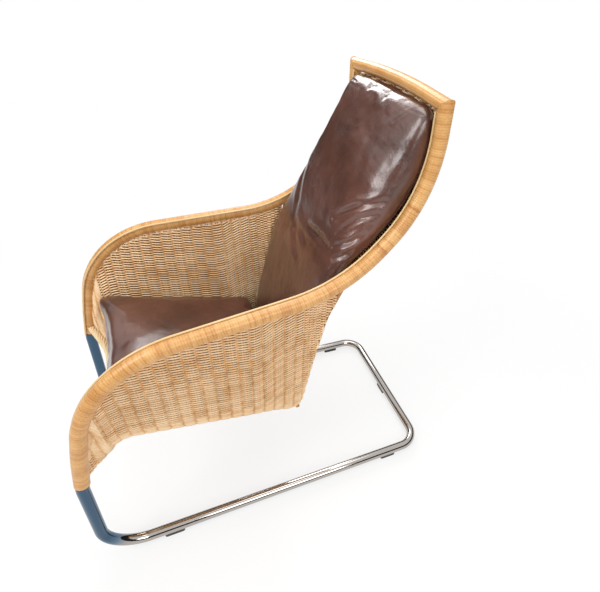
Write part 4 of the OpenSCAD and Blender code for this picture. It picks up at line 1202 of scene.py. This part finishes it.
def stuff(piece):
    """Remeshes the piece evenly, blows it up like a filled cover and keeps each point near home."""
    remesh = piece.modifiers.new("even", "REMESH")
    remesh.mode = "VOXEL"
    remesh.voxel_size = VOXEL
    remesh.use_smooth_shade = True
    apply_modifiers(piece)
    home = read_points(piece)
    cloth = piece.modifiers.new("filled", "CLOTH")
    cloth.settings.use_pressure = True
    cloth.settings.uniform_pressure_force = PRESSURE
    cloth.settings.effector_weights.gravity = 0
    cloth.settings.quality = 6
    cloth.settings.mass = 0.4
    cloth.settings.tension_stiffness = 18
    cloth.settings.compression_stiffness = 18
    cloth.settings.bending_stiffness = 1.2
    cloth.settings.shrink_min = -0.04
    for step in range(1, SIMULATION_STEPS + 1):
        bpy.context.scene.frame_set(step)
    apply_modifiers(piece)
    bpy.context.scene.frame_set(1)
    settled = piece.modifiers.new("settled", "SMOOTH")
    settled.factor, settled.iterations = 0.5, 5
    apply_modifiers(piece)
    moved = read_points(piece) - home
    length = np.linalg.norm(moved, axis=1)
    limit = np.minimum(1, CAP / np.maximum(length, 1e-9))
    piece.data.vertices.foreach_set("co", (home + moved * limit[:, None]).ravel())
    piece.data.update()
    piece.data.materials.clear()
    piece.data.materials.append(leather)
    print(piece.name, len(home), "points, blown out by up to", round(float(length.max()) * 1000, 1),
          "mm before the cap of", CAP * 1000, "mm")


# %% [markdown]
# A fold is a groove with a soft ridge on each side. It is pressed in along a line on the cover
# and dies out at both ends. Finer, uneven waves go over the whole cushion before that.

# %% Folds, waves and the last smoothing
def fold(d):
    """Depth of a fold at a distance from its line, in its own widths."""
    return -np.exp(-d * d * 3) + 0.45 * np.exp(-((d - 1.3) ** 2) * 2)


def press_folds(piece, lines):
    """Presses folds into a piece along (points, width, depth), all in millimetres."""
    co, normals = read_points(piece), read_points(piece, "normal")
    total = np.zeros(len(co))
    for line, width, depth in lines:
        line = np.asarray(line, float) * MM
        best = np.full(len(co), 1e9)
        taper = np.zeros(len(co))
        for k in range(len(line) - 1):
            a, b = line[k], line[k + 1]
            t = np.clip(((co - a) @ (b - a)) / ((b - a) @ (b - a)), 0, 1)
            away = np.linalg.norm(co - (a + t[:, None] * (b - a)), axis=1)
            near = away < best
            best = np.where(near, away, best)
            taper = np.where(near, (k + t) / (len(line) - 1), taper)
        total += depth * MM * fold(best / (width * MM)) * np.sin(math.pi * np.clip(taper, 0.04, 0.96)) ** 0.5
    piece.data.vertices.foreach_set("co", (co + normals * total[:, None]).ravel())
    piece.data.update()


def rumple_leather(piece, size, depth, seed):
    """Small uneven waves of the leather, size and depth in metres, along its own normals."""
    co, normals = read_points(piece), read_points(piece, "normal")
    waves = np.array([noise.fractal(Vector((p[0] + seed, p[1], p[2])) / size, 1.0, 2.0, 3) for p in co])
    piece.data.vertices.foreach_set("co", (co + normals * (waves * depth)[:, None]).ravel())
    piece.data.update()


def subdivide(piece):
    """One round of subdivision, applied, with smooth faces."""
    smoother = piece.modifiers.new("smoother", "SUBSURF")
    smoother.levels = smoother.render_levels = 1
    apply_modifiers(piece)
    piece.data.polygons.foreach_set("use_smooth", [True] * len(piece.data.polygons))
    piece.data.materials.clear()
    piece.data.materials.append(leather)


print("a fold is", round(float(-fold(0.0)), 2), "of its depth deep at its line")

# %% [markdown]
# The cover of the seat cushion is loose, and sags in a few soft folds that run forwards and
# inwards from its left rear corner.

# %% Seat cushion
SEAT_WAVE = dict(size=0.06, depth=0.0014, seed=3.0)
# Folds: points across, in depth and in height, then width and depth
SEAT_FOLDS = [
    ([(120, -60, 395), (70, -130, 408), (40, -180, 418)], 8, 1.6),
    ([(150, -110, 405), (100, -150, 413), (60, -220, 427)], 7, 1.4),
    ([(90, -20, 385), (20, -70, 395), (-60, -90, 400)], 10, 1.8),
]
seat_rings = [seat_ring(t, INSET) for t in station_shares(CUSHION_STATIONS)]
seat_cushion = ring_mesh("seat_cushion", seat_rings, leather)
stuff(seat_cushion)
rumple_leather(seat_cushion, **SEAT_WAVE)
subdivide(seat_cushion)
press_folds(seat_cushion, SEAT_FOLDS)
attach(seat_cushion, "seat_cushion")
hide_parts("seat_cushion_cover", "seat_cushion_foam")
print("seat cushion:", len(seat_cushion.data.polygons), "faces")

# %% [markdown]
# The back cushion is longer and bends more. Sharp folds gather at its left edge where it bends,
# four small ones pull down from the seam along its top, and broad soft ones cross its middle.

# %% Back cushion
BACK_STATIONS = CUSHION_STATIONS + 30
BACK_WAVE = dict(size=0.07, depth=0.0016, seed=9.0)
# Folds: points across the face and in height, then width and depth
BACK_FOLDS = [
    ([(174, 798), (136, 774), (106, 750), (94, 732)], 9, 5.0),
    ([(174, 774), (154, 756), (136, 732), (124, 714)], 8, 4.0),
    ([(174, 732), (166, 714), (136, 690)], 8, 4.0),
    ([(174, 702), (172, 690), (154, 672)], 8, 3.5),
    ([(-2, 954), (-26, 924)], 4, 1.2),
    ([(40, 954), (10, 924)], 4, 1.2),
    ([(82, 954), (58, 924)], 4, 1.2),
    ([(136, 954), (106, 924)], 4, 1.2),
    ([(-170, 780), (-104, 708), (-80, 684)], 14, 2.5),
    ([(-68, 666), (10, 618), (46, 606)], 16, 2.5),
    ([(-140, 612), (-32, 654), (40, 654)], 14, 2.0),
    ([(4, 678), (76, 684), (118, 684)], 12, 2.0),
]
SEAM_H, SEAM_HALF, SEAM_STEP = 950, 160, 20
SEAM = ([(x, SEAM_H) for x in range(-SEAM_HALF, SEAM_HALF + 1, SEAM_STEP)], 3.5, 1.4)
back_rings = [back_ring(t, INSET) for t in station_shares(BACK_STATIONS)]
back_cushion = ring_mesh("back_cushion", back_rings, leather)
stuff(back_cushion)
rumple_leather(back_cushion, **BACK_WAVE)
subdivide(back_cushion)
press_folds(back_cushion, [([on_face(x, h) for x, h in line], width, depth)
                           for line, width, depth in [*BACK_FOLDS, SEAM]])
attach(back_cushion, "shell")
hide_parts("back_cushion_cover", "back_cushion_foam")
print("back cushion:", len(back_cushion.data.polygons), "faces")

# %% [markdown]
# ## Studio
# A plain pale floor under wide soft lamps. The camera, and what mirrors the room, see white;
# the floor mixes a share of plain white into what it shows, so that only a faint shadow stays.
# The share grows with distance, so the floor runs out into the white room without an edge.

# %% The floor
def seen_directly(tree):
    """1 where the camera, a mirror or glass looks at a surface, 0 where it only sheds light."""
    rays = node(tree, "ShaderNodeLightPath")
    looked_at = node(tree, "ShaderNodeMath",
                     {0: rays.outputs["Is Camera Ray"], 1: rays.outputs["Is Glossy Ray"]},
                     operation="MAXIMUM")
    through_too = node(tree, "ShaderNodeMath",
                       {0: looked_at.outputs[0], 1: rays.outputs["Is Transmission Ray"]},
                       operation="MAXIMUM")
    return through_too.outputs[0]


FLOOR_HALF = 60
WHITER_FROM, WHITER_TO = 0.7, 1.6
WHITE_NEAR, WHITE_FAR = 0.72, 1.0
floor_mesh = bpy.data.meshes.new("floor")
floor_corners = [(x * FLOOR_HALF, y * FLOOR_HALF, 0) for x, y in ((-1, -1), (1, -1), (1, 1), (-1, 1))]
floor_mesh.from_pydata(floor_corners, [], [(0, 1, 2, 3)])
floor = bpy.data.objects.new("floor", floor_mesh)
bpy.context.scene.collection.objects.link(floor)
paper = bpy.data.materials.new("white_background_paper")
paper.use_nodes = True
tree = paper.node_tree
tree.nodes.clear()
spot = node(tree, "ShaderNodeTexCoord").outputs["Object"]
away = node(tree, "ShaderNodeVectorMath", {0: spot}, operation="LENGTH")
whiter = node(tree, "ShaderNodeMapRange", {"Value": away.outputs["Value"]},
              From_Min=WHITER_FROM, From_Max=WHITER_TO, To_Min=WHITE_NEAR, To_Max=WHITE_FAR)
glow_share = node(tree, "ShaderNodeMath", {0: seen_directly(tree), 1: whiter.outputs[0]},
                  operation="MULTIPLY")
matt = node(tree, "ShaderNodeBsdfDiffuse", Color=(0.86, 0.86, 0.86, 1))
glow = node(tree, "ShaderNodeEmission", Color=(1, 1, 1, 1), Strength=1.0)
both = node(tree, "ShaderNodeMixShader", {0: glow_share.outputs[0], 1: matt.outputs[0], 2: glow.outputs[0]})
node(tree, "ShaderNodeOutputMaterial", {"Surface": both.outputs[0]})
floor_mesh.materials.append(paper)
print("floor", 2 * FLOOR_HALF, "m wide")

# %% [markdown]
# A low dark band stands round the set, where only mirror rays meet it: it gives the chrome and
# the glossy leather the dark lines that the walls of a real room give them.

# %% The dark band
band_mesh = bpy.data.meshes.new("dark_band")
BAND_R, BAND_LOW, BAND_HIGH, BAND_SIDES = 3.2, 0.25, 2.1, 48
around = [(BAND_R * math.cos(2 * math.pi * k / BAND_SIDES), BAND_R * math.sin(2 * math.pi * k / BAND_SIDES))
          for k in range(BAND_SIDES)]
band_mesh.from_pydata(
    [(x, y, z) for z in (BAND_LOW, BAND_HIGH) for x, y in around], [],
    [(k, (k + 1) % BAND_SIDES, BAND_SIDES + (k + 1) % BAND_SIDES, BAND_SIDES + k) for k in range(BAND_SIDES)])
band_mesh.materials.append(plain_material("dark_felt_band", "#2A211B", "#3A2E26", 1.0, scale=3.0))
band = bpy.data.objects.new("dark_band", band_mesh)
bpy.context.scene.collection.objects.link(band)
for kind in ("camera", "diffuse", "transmission", "volume_scatter", "shadow"):
    setattr(band, "visible_" + kind, False)
print("dark band from", BAND_LOW, "to", BAND_HIGH, "m, seen only by mirror rays")

# %% [markdown]
# The room is plain white. It looks brighter than it shines, so that the soft lamps, and not the
# room, shape the chair. Four square soft boxes stand round it: in front, at its left, above it
# and at its right, which is the far side for the camera.

# %% The white room and the lamps
ROOM_LIGHT, ROOM_SEEN = 0.55, 1.0
world = bpy.data.worlds.new("white_room")
bpy.context.scene.world = world
world.use_nodes = True
tree = world.node_tree
tree.nodes.clear()
strength = node(tree, "ShaderNodeMapRange", {"Value": seen_directly(tree)},
                To_Min=ROOM_LIGHT, To_Max=ROOM_SEEN)
room = node(tree, "ShaderNodeBackground", {"Strength": strength.outputs[0]}, Color=(1, 1, 1, 1))
node(tree, "ShaderNodeOutputWorld", {"Surface": room.outputs[0]})


def soft_lamp(name, place, aim, size, power):
    """A square soft box at a place, pointed at a spot."""
    lamp = bpy.data.lights.new(name, "AREA")
    lamp.shape, lamp.size, lamp.energy = "SQUARE", size, power
    made = bpy.data.objects.new(name, lamp)
    bpy.context.scene.collection.objects.link(made)
    made.location = place
    made.rotation_euler = (Vector(aim) - Vector(place)).to_track_quat("-Z", "Y").to_euler()
    return made


soft_lamp("key_lamp", (0.6, -2.2, 2.6), (0, 0, 0.4), 1.4, 42)
soft_lamp("side_lamp", (2.4, 0.3, 1.8), (0, 0, 0.4), 1.2, 22)
soft_lamp("top_lamp", (-0.3, 0.2, 3.0), (0, 0, 0.4), 1.6, 26)
soft_lamp("far_lamp", (-2.2, 0.5, 2.0), (0, 0.2, 0.7), 1.1, 24)
bpy.context.scene.view_settings.view_transform = "Standard"
print("lamps:", len(bpy.data.lights))
